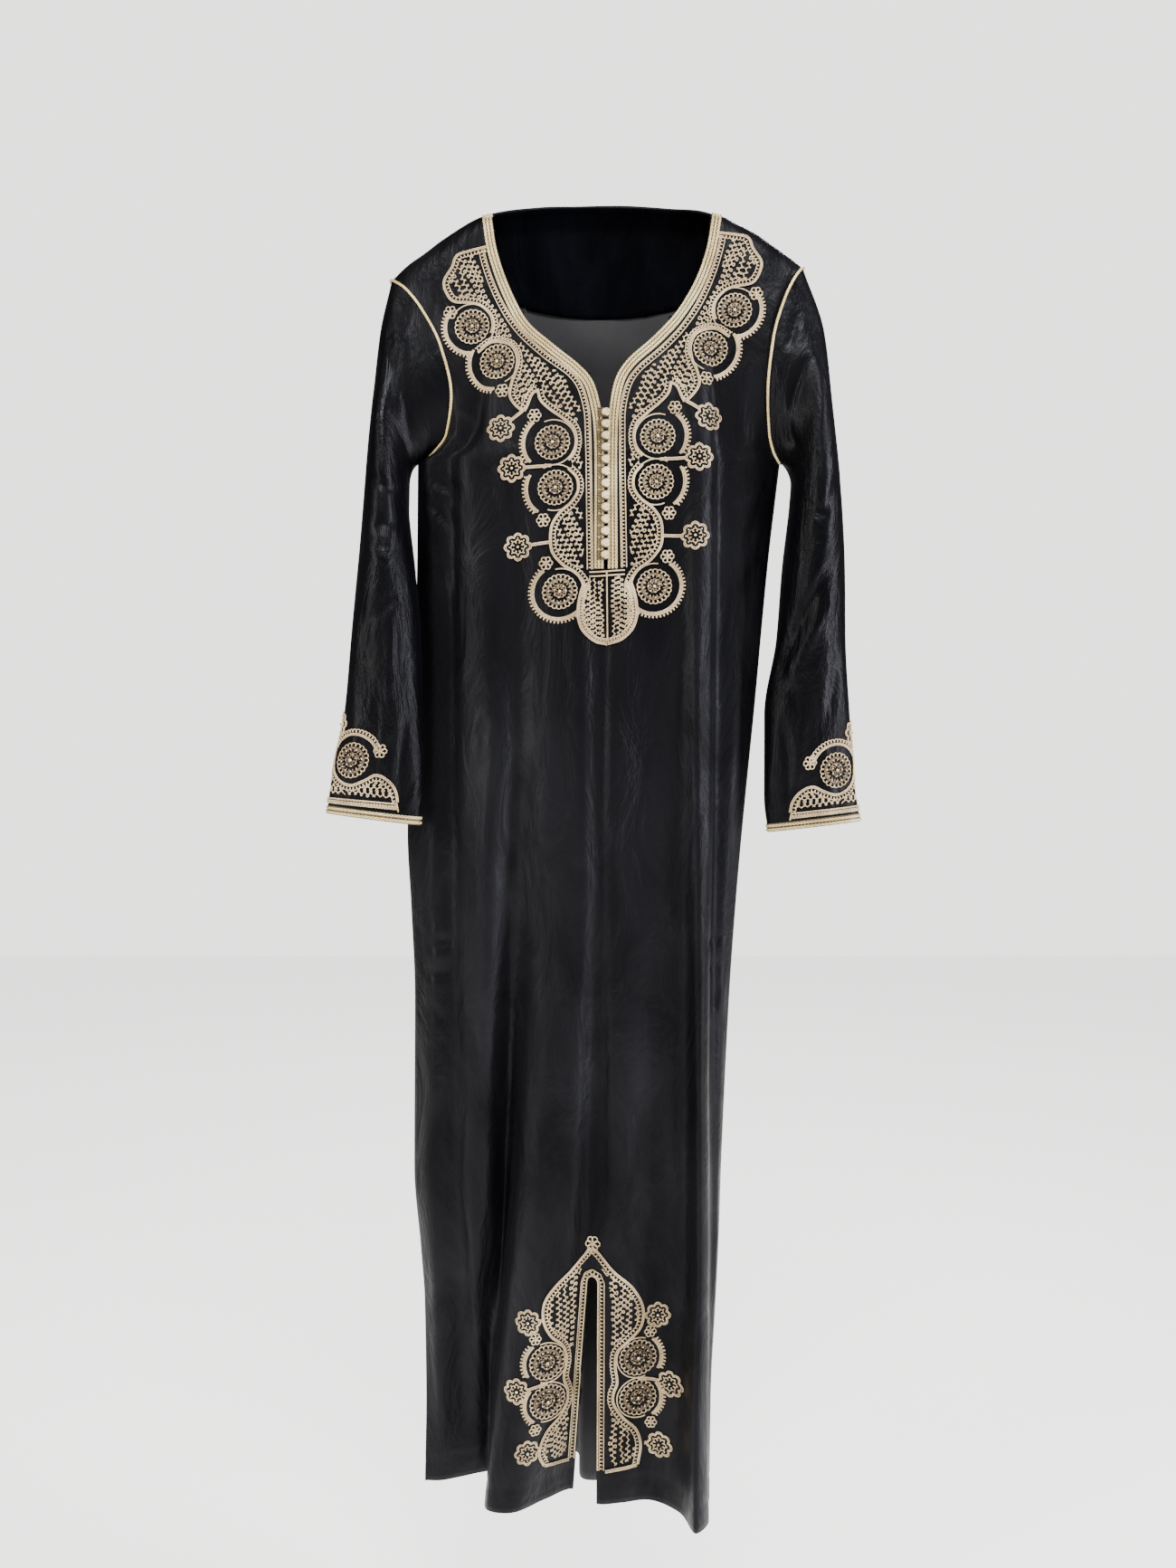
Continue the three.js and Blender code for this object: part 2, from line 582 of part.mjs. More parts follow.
const knotForm = new THREE.SphereGeometry(KNOTS.radius, KNOTS.around, KNOTS.high)
  .scale(1, KNOTS.flat, 1);
for (let i = 0; i < KNOTS.count; i += 1) {
  const knot = add(`knot_${String(i + 1).padStart(2, '0')}`, knotForm, 'braid');
  const z = KNOTS.top - i * KNOTS.pitch;
  const lift = TRIM + KNOTS.lift + KNOTS.radius * KNOTS.flat;
  knot.position.set(KNOTS.x, frontDepth(KNOTS.x, z) - lift, z);
}

export default group;
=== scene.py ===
"""A long black velvet Moroccan kaftan with couched gold soutache, hanging filled out.

Sizes are in millimetres in the tables and in metres in Blender. +Z is up and the front faces -Y.
"""

import math
import random

import bmesh
import bpy
import numpy as np
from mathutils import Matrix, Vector, noise
from mathutils.bvhtree import BVHTree


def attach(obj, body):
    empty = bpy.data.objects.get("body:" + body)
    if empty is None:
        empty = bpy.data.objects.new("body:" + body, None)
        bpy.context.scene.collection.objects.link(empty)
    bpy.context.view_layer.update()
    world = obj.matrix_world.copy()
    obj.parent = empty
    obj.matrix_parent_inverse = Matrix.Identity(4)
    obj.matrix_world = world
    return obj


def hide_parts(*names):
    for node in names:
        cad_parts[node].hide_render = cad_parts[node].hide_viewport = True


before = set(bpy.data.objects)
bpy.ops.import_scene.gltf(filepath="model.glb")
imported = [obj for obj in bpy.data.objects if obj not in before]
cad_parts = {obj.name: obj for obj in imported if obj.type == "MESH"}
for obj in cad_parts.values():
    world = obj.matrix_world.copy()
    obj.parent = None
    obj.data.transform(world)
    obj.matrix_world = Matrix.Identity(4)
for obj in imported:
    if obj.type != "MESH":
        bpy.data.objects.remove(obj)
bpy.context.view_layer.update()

MM = 0.001
TAU = 2 * math.pi
SIGN = {"left": -1, "right": 1}

# ---- the cut, as in the solid model ----
WALL = 1.6
GAP = 0.3
UNDERARM = -280
HEM = -1416
ROLL = 18
YOKE_DEPTH = 18
ARM_SWELL = 16
SWELL_UNTIL = 30  # folds that stand out this far get none of that swell
YOKE_SHARE = 1.3  # rows of the yoke crowd towards the shoulder
STATION_Z = [-300, -700, -1080, HEM]
OUTLINE = {  # height, left seam, right seam
    "z": [UNDERARM, -390, -550, -690, -770, -870, -1060, -1150, -1210, -1310, HEM],
    "left": [-203, -204, -209, -215, -211, -207, -208, -201, -197, -196, -198],
    "right": [197, 184, 169, 155, 148, 141, 132, 129, 126, 121, 119],
}
ARMHOLE = {
    "down": [0, 0.08, 0.2, 0.4, 0.65, 0.85, 0.95, 1],
    "left": [-232, -213, -195, -175, -164, -170, -186, -203],
    "right": [222, 210, 198, 186, 181, 184, 190, 197],
}
BACK_ARM_STRAIGHT = 0.3  # how much straighter the back armhole is cut
SHOULDER = {"left": ((-125, -4), (-232, -80)), "right": ((127, -5), (222, -66))}
SHOULDER_DROOP = 0.18  # share of the shoulder's fall that comes only at its tip
BACK_NECK_RISE, BACK_NECK_ROUND = 9, 0.6  # a round below 1 makes the rise flat-topped
SIDE_REACH = 60  # how far the side seam's curve pulls the folds beside it

# Folds, left to right: x at chest, hip, knee and hem, then how far each stands out there.
FRONT_FOLDS = {
    "seam left": (-204, -214, -207, -198, 0, -4, -8, -22),
    "side left crown": (-191, -186, -186, -180, 17, 17, 13, -22),
    "side left hollow": (-165, -163, -161, -157, 18, 16, 10, -30),
    "front left edge": (-152, -148, -140, -138, 33, 30, 22, -38),
    "front left crown": (-117, -122, -120, -127, 40, 45, 12, -40),
    "deep hollow": (-90, -93, -107, -127, 42, 33, -10, 2),
    "middle left edge": (-68, -66, -88, -124, 43, 46, 40, 36),
    "middle crown": (-46, -42, -66, -97, 44, 52, 55, 42),
    "middle right": (-24, -21, -33, -62, 44, 55, 52, 16),
    "slit left": (-8, -7, -15, -31, 43, 47, 38, -5),
    "slit right": (2, 1, -2, -6, 43, 46, 39, 25),
    "right crown": (16, 12, 15, 20, 43, 51, 46, 23),
    "right slope": (58, 62, 66, 52, 42, 41, 35, 17),
    "right hollow": (84, 86, 90, 83, 40, 41, 38, 42),
    "pillar crown": (102, 103, 103, 97, 43, 54, 60, 80),
    "pillar edge": (118, 116, 112, 112, 36, 45, 52, 62),
    "side right hollow": (128, 123, 119, 114, 20, 19, 18, 30),
    "side right crown": (158, 139, 127, 118, 17, 14, 10, 12),
    "seam right": (192, 154, 131, 119, 0, 0, 0, -6),
}
BACK_FOLDS = {
    "seam left": (-204, -214, -207, -198, 0, 4, 8, 22),
    "side left crown": (-188, -192, -186, -184, 18, 24, 32, 46),
    "left hollow": (-150, -150, -152, -152, 27, 28, 26, 54),
    "left crown": (-112, -108, -104, -108, 34, 42, 54, 80),
    "middle left": (-60, -58, -60, -62, 38, 42, 46, 88),
    "middle hollow": (-24, -26, -30, -27, 38, 36, 38, 84),
    "inner fold left": (2, -2, -12, -20, 38, 36, 28, 26),
    "inner fold right": (30, 24, 14, 10, 38, 40, 30, 28),
    "right crown": (66, 62, 50, 42, 38, 46, 52, 76),
    "right hollow": (102, 94, 84, 74, 36, 38, 40, 58),
    "side right crown": (142, 124, 108, 100, 30, 36, 42, 56),
    "side right": (174, 144, 123, 114, 18, 20, 22, 32),
    "seam right": (192, 154, 131, 119, 0, 0, 0, 6),
}
# Sleeves from seam to cuff: outer x and z, inner x and z, middle of the depth, half of it.
SLEEVES = {
    "left": [
        (-232, -80, -203, -280, 0, 26), (-245, -140, -209, -289, -2, 34),
        (-253, -225, -212, -304, -5, 43), (-259, -310, -212, -332, -10, 47),
        (-265, -400, -203, -402, -22, 43), (-271, -480, -196, -480, -30, 35),
        (-279, -565, -194, -565, -34, 27), (-291, -628, -193, -632, -36, 20),
        (-296, -666, -196, -679, -36, 16),
    ],
    "right": [
        (222, -66, 197, -280, 0, 26), (245, -138, 204, -288, -2, 34),
        (253, -215, 209, -303, -4, 43), (262, -310, 207, -328, -6, 47),
        (266, -392, 199, -394, -8, 43), (267, -475, 192, -476, -10, 35),
        (271, -555, 178, -560, -12, 27), (277, -635, 178, -645, -12, 20),
        (283, -675, 182, -687, -12, 16),
    ],
}
SEAM_FADE = {"under": 0.1, "top": 0.32}  # share of the sleeve that still follows the armhole
NECK_EDGE = {
    "left": [(-122, 6), (-119, -22), (-113, -57), (-97, -102), (-79, -135), (-54, -158),
             (-23, -184), (-10, -200), (-1, -231), (2, -262), (2, -404)],
    "right": [(123, 6), (119, -22), (113, -54), (100, -90), (81, -122), (55, -151),
              (27, -177), (15, -196), (8, -228), (6, -262), (6, -404)],
}
BRAID_WIDTH = 11
CHAIN = {"pitch": 3.8, "swing": 0.95, "cord": 0.52, "fine": 0.5, "lift": 0.45}
FACING = {"half": 120, "depth": 113, "arch": 22, "wall": 1, "snap": 3.3}
HEM_SLIT = {"top": (-10, -1166), "half": 5, "left": -32, "right": -6}
PAST_EDGE = {"top": 60, "hem": 10}  # how far openings run on past the cloth's edges
KNOTS = {"count": 13, "top": -236, "pitch": 12.8, "x": 4, "radius": 5, "cord": 1.45, "lift": 4.6}
KNOT_LOOPS = {"rows": (4.4, 2.2, 0, -2.2, -4.4), "from": -9, "to": 2, "cord": 0.8, "lift": 2.9}
PLY_WAIST = 0.72  # how far a twisted cord narrows between its strands
PIPING = {"radius": 1.6, "ply": (2, 6.5)}  # strands, and the length of one twist

# ---- how finely the cloth is made ----
YOKE_ROWS = 54
FRONT_ROWS, FRONT_PER = 190, 6
BACK_ROWS, BACK_PER = 130, 8
SLEEVE_ROWS = 110
SNAP = 2.6  # points this near an opening's edge move onto it
CORD_STEP, BRAID_STEP = 1.3, 1.1
BEAD_LIFT, RAISED = 1, 0.15  # beads and the fields' double cords stand this much higher

# Creases: start x and z, end x and z, half width, height (a trough is negative), sideways bow.
FRONT_CREASES = [
    (-193, -812, -158, -804, 3.4, -4.2, 1), (-196, -842, -160, -836, 3.8, -4.6, -2),
    (-190, -826, -164, -820, 4, 2.4, 1), (-173, -700, -188, -796, 6, -2.6, 4),
    (-160, -640, -178, -760, 8, 1.8, -5), (-197, -870, -168, -905, 5, -2, 3),
    (-188, -930, -170, -1010, 7, 1.6, -3), (-197, -300, -150, -322, 4.5, -3, 4),
    (-199, -318, -156, -366, 5, -3.2, 4), (-200, -340, -170, -432, 6, -2.6, 5),
    (-196, -356, -150, -470, 7, 2, 6), (-182, -270, -132, -262, 5, -2, -3),
    (-168, -220, -128, -246, 5.5, -1.8, 4), (186, -268, 140, -276, 5, -2.4, -3),
    (190, -296, 146, -330, 5, -3, -4), (186, -320, 152, -392, 6, -2.6, -4),
    (176, -356, 150, -450, 7, 2, -5), (142, -798, 112, -806, 3.4, -3.4, 1),
    (140, -824, 116, -836, 3.6, -3, 1), (136, -850, 118, -900, 5, 1.6, 3),
    (-128, -520, -140, -700, 9, -2.4, 5), (-96, -470, -104, -720, 11, 2.2, -6),
    (-60, -520, -74, -760, 12, 1.8, 6), (-34, -505, -30, -900, 12, -2, 5),
    (8, -520, 2, -900, 14, 1.8, -5), (44, -430, 36, -790, 13, -2.2, 6),
    (74, -400, 80, -760, 12, 2, -4), (112, -440, 104, -760, 9, -2.6, 4),
    (-126, -880, -118, -1190, 9, 2.6, -5), (-52, -930, -70, -1290, 10, -2.2, 5),
    (26, -860, 34, -1120, 14, 2, -5), (56, -900, 62, -1140, 11, -1.8, 4),
    (-160, -1050, -150, -1370, 10, -3, 4), (-182, -1120, -178, -1395, 8, 2.4, -4),
    (94, -1160, 88, -1400, 7, 2.2, 3), (-88, -1350, -110, -1412, 8, -2.4, 4),
    (64, -1370, 52, -1412, 9, -2, 3), (16, -1380, 24, -1412, 8, 1.6, 2),
    (-208, -62, -160, -40, 6, -1.6, 4), (206, -56, 170, -34, 6, -1.4, -3),
]
BACK_CREASES = [
    (-192, -806, -150, -800, 3.6, -3.6, 1), (-194, -834, -156, -842, 4, -4, -2),
    (136, -800, 104, -812, 3.6, -3.4, 1), (-176, -680, -186, -790, 7, -2.2, 4),
    (-196, -300, -140, -330, 5, -3, 4), (-196, -330, -150, -400, 6, -2.8, 5),
    (188, -300, 136, -336, 5, -3, -4), (182, -330, 146, -410, 6, -2.6, -5),
    (-176, -180, -120, -120, 8, -1.8, -6), (170, -190, 112, -128, 8, -1.8, 6),
    (-120, -420, -128, -760, 12, 2.2, -6), (-80, -360, -84, -700, 12, -2.2, 6),
    (-30, -300, -26, -740, 14, 2, 6), (20, -330, 16, -700, 13, -2, -5),
    (58, -380, 60, -800, 12, 2.2, 5), (92, -420, 84, -780, 10, -2.4, 4),
    (-96, -820, -90, -1240, 12, -2.2, 5), (-44, -900, -50, -1330, 11, 2.4, -6),
    (36, -860, 26, -1300, 11, -2, 5), (88, -900, 78, -1300, 10, 2, -4),
    (-168, -980, -160, -1380, 10, -2.8, 4), (104, -1080, 96, -1390, 8, -2, 3),
    (0, -60, 0, -230, 22, -1.6, 3),
]
SLEEVE_CREASES = {
    "left": [
        (-220, -322, -252, -300, 4.5, -3.6, 3), (-212, -352, -250, -372, 5, -3.2, -3),
        (-214, -400, -256, -382, 6, 2.4, 3), (-206, -430, -250, -470, 5.5, -2.6, -4),
        (-236, -120, -226, -250, 7, -2.6, 4), (-214, -150, -206, -262, 5, -3, -4),
        (-246, -200, -238, -330, 8, 2.2, 4), (-260, -430, -248, -560, 7, -2.2, 5),
        (-222, -440, -216, -600, 7, 2.2, -5), (-238, -520, -246, -640, 5, -2, 3),
        (-208, -560, -214, -664, 4.5, -2.4, -3), (-226, -600, -230, -668, 4, 1.6, 2),
        (-262, -560, -270, -640, 5, 1.8, 3), (-200, -505, -236, -520, 4, -1.8, 2),
    ],
    "right": [
        (254, -391, 186, -529, 6.5, -4.6, -7), (262, -420, 200, -532, 7, 3.2, -6),
        (211, -122, 199, -166, 4.5, -3.4, 2), (224, -172, 204, -232, 4.5, -3.8, -4),
        (202, -236, 214, -272, 4.5, -3.4, -4), (236, -150, 230, -270, 8, 2.2, 4),
        (256, -300, 232, -352, 6, -2.6, 3), (214, -330, 244, -350, 5, -2.8, -3),
        (208, -380, 238, -372, 5, -2, 2), (254, -480, 238, -580, 6, -2.2, 4),
        (220, -545, 214, -640, 6, 2, -3), (196, -560, 200, -672, 4.5, -2.2, 3),
        (240, -590, 246, -668, 5, 1.8, 3), (186, -505, 212, -560, 5, -2, 3),
    ],
}
SLEEVE_BACK_CREASES = {
    "left": [
        (-212, -380, -262, -360, 6, -3.6, 3), (-210, -410, -258, -420, 6, -3, -3),
        (-230, -150, -222, -280, 7, -2.4, 4), (-250, -470, -240, -620, 7, 2, 4),
        (-216, -520, -222, -650, 6, -2.2, -3),
    ],
    "right": [
        (206, -380, 258, -356, 6, -3.6, 3), (202, -412, 256, -420, 6, -3, -3),
        (226, -150, 220, -280, 7, -2.4, 4), (244, -470, 234, -620, 7, 2, 4),
        (204, -520, 210, -650, 6, -2.2, -3),
    ],
}
RIPPLE = {"size": 55, "height": 0.9, "flat": 0.5}  # soft unevenness, drawn out downwards
CALM_COLUMNS = 6  # beside a panel's seams, where creases fade
SLEEVE_CALM = {"seam": 0.05, "cuff": 0.04, "least": 0.15}  # shares of its length, and what stays
SLEEVE_EDGE = {"slope": 2.2, "least": 0.12}  # how creases fade at a sleeve's two folded edges
FRONT_TO_BACK = 4  # over this depth a sleeve's front creases give way to its back ones
HEM_TURN = {"up": 24, "width": 2.2, "depth": -0.7}  # where the turned hem is caught down


# ---- curves and grids ----
def mix(a, b, share):
    return a + (b - a) * share


def through(at, values, where):
    """A smooth curve through a table's column that never overshoots its values."""
    at, values = np.asarray(at, float), np.asarray(values, float)
    if at[0] > at[-1]:
        at, values = at[::-1], values[::-1]
    slopes = np.diff(values) / np.diff(at)
    before, after = slopes[:-1], slopes[1:]
    together = before + after
    inner = 2 * before * after / np.where(together == 0, 1, together)
    inner = np.where(before * after > 0, inner, 0)
    tangents = np.concatenate([slopes[:1], inner, slopes[-1:]])
    x = np.clip(where, at[0], at[-1])
    i = np.clip(np.searchsorted(at, x, side="right") - 1, 0, len(at) - 2)
    width = at[i + 1] - at[i]
    t = (x - at[i]) / width
    ease = t * t * (3 - 2 * t)
    return (values[i] * (1 - ease) + values[i + 1] * ease
            + width * (tangents[i] * t * (1 - t) ** 2 - tangents[i + 1] * t * t * (1 - t)))


def centripetal(points, per):
    """Points per interval along centripetal Catmull-Rom curves; points is (..., n, 3 or 2)."""
    points = np.asarray(points, float)
    first = 2 * points[..., :1, :] - points[..., 1:2, :]
    last = 2 * points[..., -1:, :] - points[..., -2:-1, :]
    padded = np.concatenate([first, points, last], axis=-2)
    p0, p1, p2, p3 = (padded[..., i:i + points.shape[-2] - 1, :] for i in range(4))
    d0, d1, d2 = (np.maximum(np.linalg.norm(b - a, axis=-1, keepdims=True) ** 0.5, 1e-4)
                  for a, b in ((p0, p1), (p1, p2), (p2, p3)))
    t1 = ((p1 - p0) / d0 - (p2 - p0) / (d0 + d1) + (p2 - p1) / d1) * d1
    t2 = ((p2 - p1) / d1 - (p3 - p1) / (d1 + d2) + (p3 - p2) / d2) * d1
    out = []
    for k in range(per):
        t = k / per
        out.append(p1 * (2 * t**3 - 3 * t * t + 1) + t1 * (t**3 - 2 * t * t + t)
                   + p2 * (3 * t * t - 2 * t**3) + t2 * (t**3 - t * t))
    body = np.stack(out, axis=-2).reshape(*points.shape[:-2], -1, points.shape[-1])
    return np.concatenate([body, points[..., -1:, :]], axis=-2)


def gone(points):
    """How far along a path each of its points lies."""
    return np.concatenate([[0], np.cumsum(np.linalg.norm(np.diff(points, axis=0), axis=1))])


def read_between(where, at, values):
    """Rows of values read off between their own places."""
    return np.stack([np.interp(where, at, column) for column in values.T], axis=1)


def spaced(points, step=CORD_STEP):
    """The same path with points at even distances."""
    points = np.asarray(points, float)
    along = gone(points)
    count = max(2, int(round(along[-1] / step)) + 1)
    return read_between(np.linspace(0, along[-1], count), along, points)


def unit(vectors):
    return vectors / np.maximum(np.linalg.norm(vectors, axis=-1, keepdims=True), 1e-9)


def shoulder_height(x, rise):
    (nl, nlz), (pl, plz) = SHOULDER["left"]
    (nr, nrz), (pr, prz) = SHOULDER["right"]

    def fall(start, end, high, low):
        share = np.clip((x - start) / (end - start), 0, 1)
        return mix(high, low, mix(share, share**4, SHOULDER_DROOP))

    across = np.clip((x - nl) / (nr - nl), 0, 1)
    level = mix(nlz, nrz, across) + rise * np.sin(math.pi * across) ** BACK_NECK_ROUND
    return np.where(x < nl, fall(nl, pl, nlz, plz), np.where(x > nr, fall(nr, pr, nrz, prz), level))


def roll_over(drop):
    left = 1 - np.clip(drop / ROLL, 0, 1)
    return np.sqrt(1 - left * left)


def fold_row(folds, z):
    """x and depth of each fold at one height, with the ends on the outline."""
    table = np.array(list(folds.values()), float)
    x = np.array([through(STATION_Z, row[:4], z) for row in table])
    deep = np.array([through(STATION_Z, row[4:], z) for row in table])
    left = through(OUTLINE["z"], OUTLINE["left"], z)
    right = through(OUTLINE["z"], OUTLINE["right"], z)
    slide = (left - x[0]) * np.maximum(0, 1 - np.abs(x - x[0]) / SIDE_REACH)
    slide += (right - x[-1]) * np.maximum(0, 1 - np.abs(x - x[-1]) / SIDE_REACH)
    return x + slide, deep


def armhole_x(side, down, straight):
    column = ARMHOLE[side]
    return mix(through(ARMHOLE["down"], column, down), mix(column[0], column[-1], down), straight)


def yoke_row(folds, down, facing, straight, rise):
    x, deep = fold_row(folds, UNDERARM)
    share = (x - x[0]) / (x[-1] - x[0])
    top = shoulder_height(mix(SHOULDER["left"][1][0], SHOULDER["right"][1][0], share), rise)
    z = mix(top, UNDERARM, down)
    own = deep.copy()
    own[[0, -1]] = 0
    swell = ARM_SWELL * np.maximum(0, 1 - own / SWELL_UNTIL) * math.sin(math.pi * down)
    out = roll_over(top - z) * mix(YOKE_DEPTH, own, down) + swell
    edges = armhole_x("left", down, straight), armhole_x("right", down, straight)
    return np.stack([mix(edges[0], edges[1], share), facing * (out + GAP / 2), z], axis=1)


def skirt_row(folds, z, facing):
    x, deep = fold_row(folds, z)
    return np.stack([x, facing * (deep + GAP / 2), np.full(len(x), z)], axis=1)


def panel_grid(folds, facing, rows, per, straight, rise):
    yoke = [yoke_row(folds, (i / YOKE_ROWS) ** YOKE_SHARE, facing, straight, rise)
            for i in range(YOKE_ROWS + 1)]
    skirt = [skirt_row(folds, mix(UNDERARM, HEM, i / rows), facing) for i in range(1, rows + 1)]
    return centripetal(np.array(yoke + skirt), per)


def grid_normals(grid, closed=False):
    """Outward normals of a grid whose rows run down and whose columns run across."""
    along = np.gradient(grid, axis=0)
    if closed:
        across = np.roll(grid, -1, axis=1) - np.roll(grid, 1, axis=1)
    else:
        across = np.gradient(grid, axis=1)
    return unit(np.cross(along, across))


def crease_height(x, z, creases):
    """How far the creases lift the cloth at each place."""
    total = np.zeros_like(x)
    for x0, z0, x1, z1, width, height, bow in creases:
        along = np.array([x1 - x0, z1 - z0], float)
        length = np.linalg.norm(along)
        along /= length
        share = ((x - x0) * along[0] + (z - z0) * along[1]) / length
        inside = np.clip(share, 0, 1)
        off = (x - x0) * -along[1] + (z - z0) * along[0] - bow * np.sin(math.pi * inside)
        ends = np.sin(math.pi * inside) ** 0.8
        total += height * ends * np.exp(-(off / width) ** 2)
    return total


def ripple_height(grid):
    flat = grid.reshape(-1, 3) / RIPPLE["size"]
    values = [noise.noise(Vector((p[0], p[1], p[2] * RIPPLE["flat"]))) for p in flat]
    return RIPPLE["height"] * np.array(values).reshape(grid.shape[:2])


def groove(distance, turn):
    return turn["depth"] * np.exp(-(distance / turn["width"]) ** 2)


def calm_edges(shape):
    """0 on a panel's side edges, where it meets its neighbour, and 1 inside."""
    columns = np.arange(shape[1])
    within = np.minimum(columns, shape[1] - 1 - columns) / CALM_COLUMNS
    return np.clip(within, 0, 1)[None, :] ** 1.5


def creased(grid, normals, creases):
    lift = crease_height(grid[..., 0], grid[..., 2], creases) + ripple_height(grid)
    lift = lift * calm_edges(grid.shape) + groove(grid[..., 2] - HEM - HEM_TURN["up"], HEM_TURN)
    return grid + normals * lift[..., None]


# ---- meshes ----
def mesh_piece(name, verts, faces, materials, face_materials=None, smooth=True):
    mesh = bpy.data.meshes.new(name)
    mesh.from_pydata(np.asarray(verts) * MM, [], faces)
    for material in materials:
        mesh.materials.append(material)
    if face_materials is not None:
        mesh.polygons.foreach_set("material_index", face_materials)
    mesh.polygons.foreach_set("use_smooth", [smooth] * len(mesh.polygons))
    mesh.update()
    piece = bpy.data.objects.new(name, mesh)
    bpy.context.scene.collection.objects.link(piece)
    return piece


def grid_faces(rows, cols, closed=False, endless=False):
    """Quads of a grid. Closed joins its last column to the first, endless its last row."""
    r, c = np.meshgrid(np.arange(rows if endless else rows - 1),
                       np.arange(cols if closed else cols - 1), indexing="ij")
    r1, c1 = (r + 1) % rows, (c + 1) % cols
    corners = [r * cols + c, r1 * cols + c, r1 * cols + c1, r * cols + c1]
    return np.stack(corners, axis=-1).reshape(-1, 4)


def swept(sections, endless=False):
    """A form swept through closed sections, with its ends shut unless it is endless."""
    rings, wide = sections.shape[:2]
    faces = grid_faces(rings, wide, True, endless).tolist()
    if not endless:
        faces += [list(range(wide)), [(rings - 1) * wide + k for k in range(wide)][::-1]]
    return sections.reshape(-1, 3), faces


def settle(piece, node):
    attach(piece, "root")
    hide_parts(node)
    return piece


def cloth(name, verts, faces, material, slot, thickness=WALL):
    """One sheet, its wall inwards. The wrong side and the cut edge take the second material."""
    piece = mesh_piece(name, verts, faces.tolist(), [material, WRONG_SIDE])
    wall = piece.modifiers.new("wall", "SOLIDIFY")
    wall.thickness = thickness * MM
    wall.offset = -1
    wall.material_offset = 1
    settle(piece, name)
    return wall


def nearest_on_path(points, path):
    """For each point, the nearest place on a path and its distance."""
    a, b = path[:-1], path[1:]
    along = b - a
    share = np.einsum("pij,ij->pi", points[:, None] - a, along) / np.maximum((along**2).sum(1), 1e-9)
    spots = a + np.clip(share, 0, 1)[..., None] * along
    gaps = np.linalg.norm(points[:, None] - spots, axis=2)
    best = gaps.argmin(1)
    rows = np.arange(len(points))
    return spots[rows, best], gaps[rows, best]


def inside(points, outline):
    """Which points lie inside a closed outline, by crossings."""
    x, z = points[:, 0][:, None], points[:, 1][:, None]
    ax, az = outline[:, 0], outline[:, 1]
    bx, bz = np.roll(ax, -1), np.roll(az, -1)
    level = np.where(bz == az, 1e-9, bz - az)
    crosses = ((az > z) != (bz > z)) & (x < (bx - ax) * (z - az) / level + ax)
    return crosses.sum(1) % 2 == 1


def cut_out(grid, outlines, snap=SNAP, keep=False):
    """The grid without what lies in the outlines, or with keep only that. Points near an
    outline move onto it."""
    verts = grid.reshape(-1, 3).copy()
    faces = grid_faces(*grid.shape[:2])
    for outline in outlines:
        low, high = outline.min(0) - snap, outline.max(0) + snap
        flat = verts[:, [0, 2]]
        near = np.where(np.all((flat > low) & (flat < high), axis=1))[0]
        spots, gaps = nearest_on_path(flat[near], np.vstack([outline, outline[:1]]))
        close = gaps < snap
        verts[np.ix_(near[close], [0, 2])] = spots[close]
        middles = verts[faces][:, :, [0, 2]].mean(1)
        faces = faces[inside(middles, outline) == keep]
    used, places = np.unique(faces, return_inverse=True)
    return verts[used], places.reshape(faces.shape)


def tube(points, normals, radius, sides=5, endless=False, ply=None):
    """A round cord along points. With ply it has that many strands, twisted at a pitch."""
    ahead = np.roll(points, -1, 0) - np.roll(points, 1, 0) if endless else np.gradient(points, axis=0)
    ahead = unit(ahead)
    side = unit(np.cross(ahead, normals))
    up = np.cross(side, ahead)
    angle = np.arange(sides) * TAU / sides
    size = np.full((len(points), sides), float(radius))
    if ply:
        strands, pitch = ply
        turn = angle - gone(points)[:, None] * TAU / pitch
        size *= mix(PLY_WAIST, 1, np.abs(np.cos(turn * strands / 2)) ** 0.7)
    ring = np.cos(angle)[:, None] * side[:, None] + np.sin(angle)[:, None] * up[:, None]
    return swept(points[:, None] + size[..., None] * ring, endless)


def ball(radius, flat=0.8, around=7, high=4):
    """A small round bead about the origin, flattened along its third axis."""
    polar = math.pi * np.arange(1, high)[:, None] / high
    turn = np.arange(around) * TAU / around
    belts = np.stack([np.sin(polar) * np.cos(turn), np.sin(polar) * np.sin(turn),
                      flat * np.cos(polar) + 0 * turn], axis=-1).reshape(-1, 3)
    last = 1 + (high - 2) * around
    faces = []
    for k in range(around):
        n = (k + 1) % around
        faces.append([0, 1 + k, 1 + n])
        for a in range(1, last, around):
            faces.append([a + k, a + around + k, a + around + n, a + n])
        faces.append([last + k, last + around, last + n])
    return radius * np.vstack([[(0, 0, flat)], belts, [(0, 0, -flat)]]), faces


def face_out(piece):
    """Makes a closed piece's faces look outwards."""
    shape = bmesh.new()
    shape.from_mesh(piece.data)
    bmesh.ops.recalc_face_normals(shape, faces=shape.faces)
    shape.to_mesh(piece.data)
    shape.free()


# ---- materials ----
def linear(code, alpha=1.0):
    """An sRGB hex colour as the linear one that shaders take."""
    channels = [int(code[i:i + 2], 16) / 255 for i in (1, 3, 5)]
    return (*[c / 12.92 if c <= 0.04045 else ((c + 0.055) / 1.055) ** 2.4 for c in channels], alpha)


def add_node(tree, kind, values=None, links=None, **settings):
    """Adds a node with its settings, its sockets' values and its links. A link comes from a
    socket, or from a node's first output."""
    made = tree.nodes.new(kind)
    for name, value in settings.items():
        setattr(made, name, value)
    for key, value in (values or {}).items():
        made.inputs[key].default_value = value
    for key, source in (links or {}).items():
        tree.links.new(getattr(source, "outputs", [source])[0], made.inputs[key])
    return made


def new_material(name):
    material = bpy.data.materials.new(name)
    material.use_nodes = True
    material.node_tree.nodes.clear()
    return material, material.node_tree


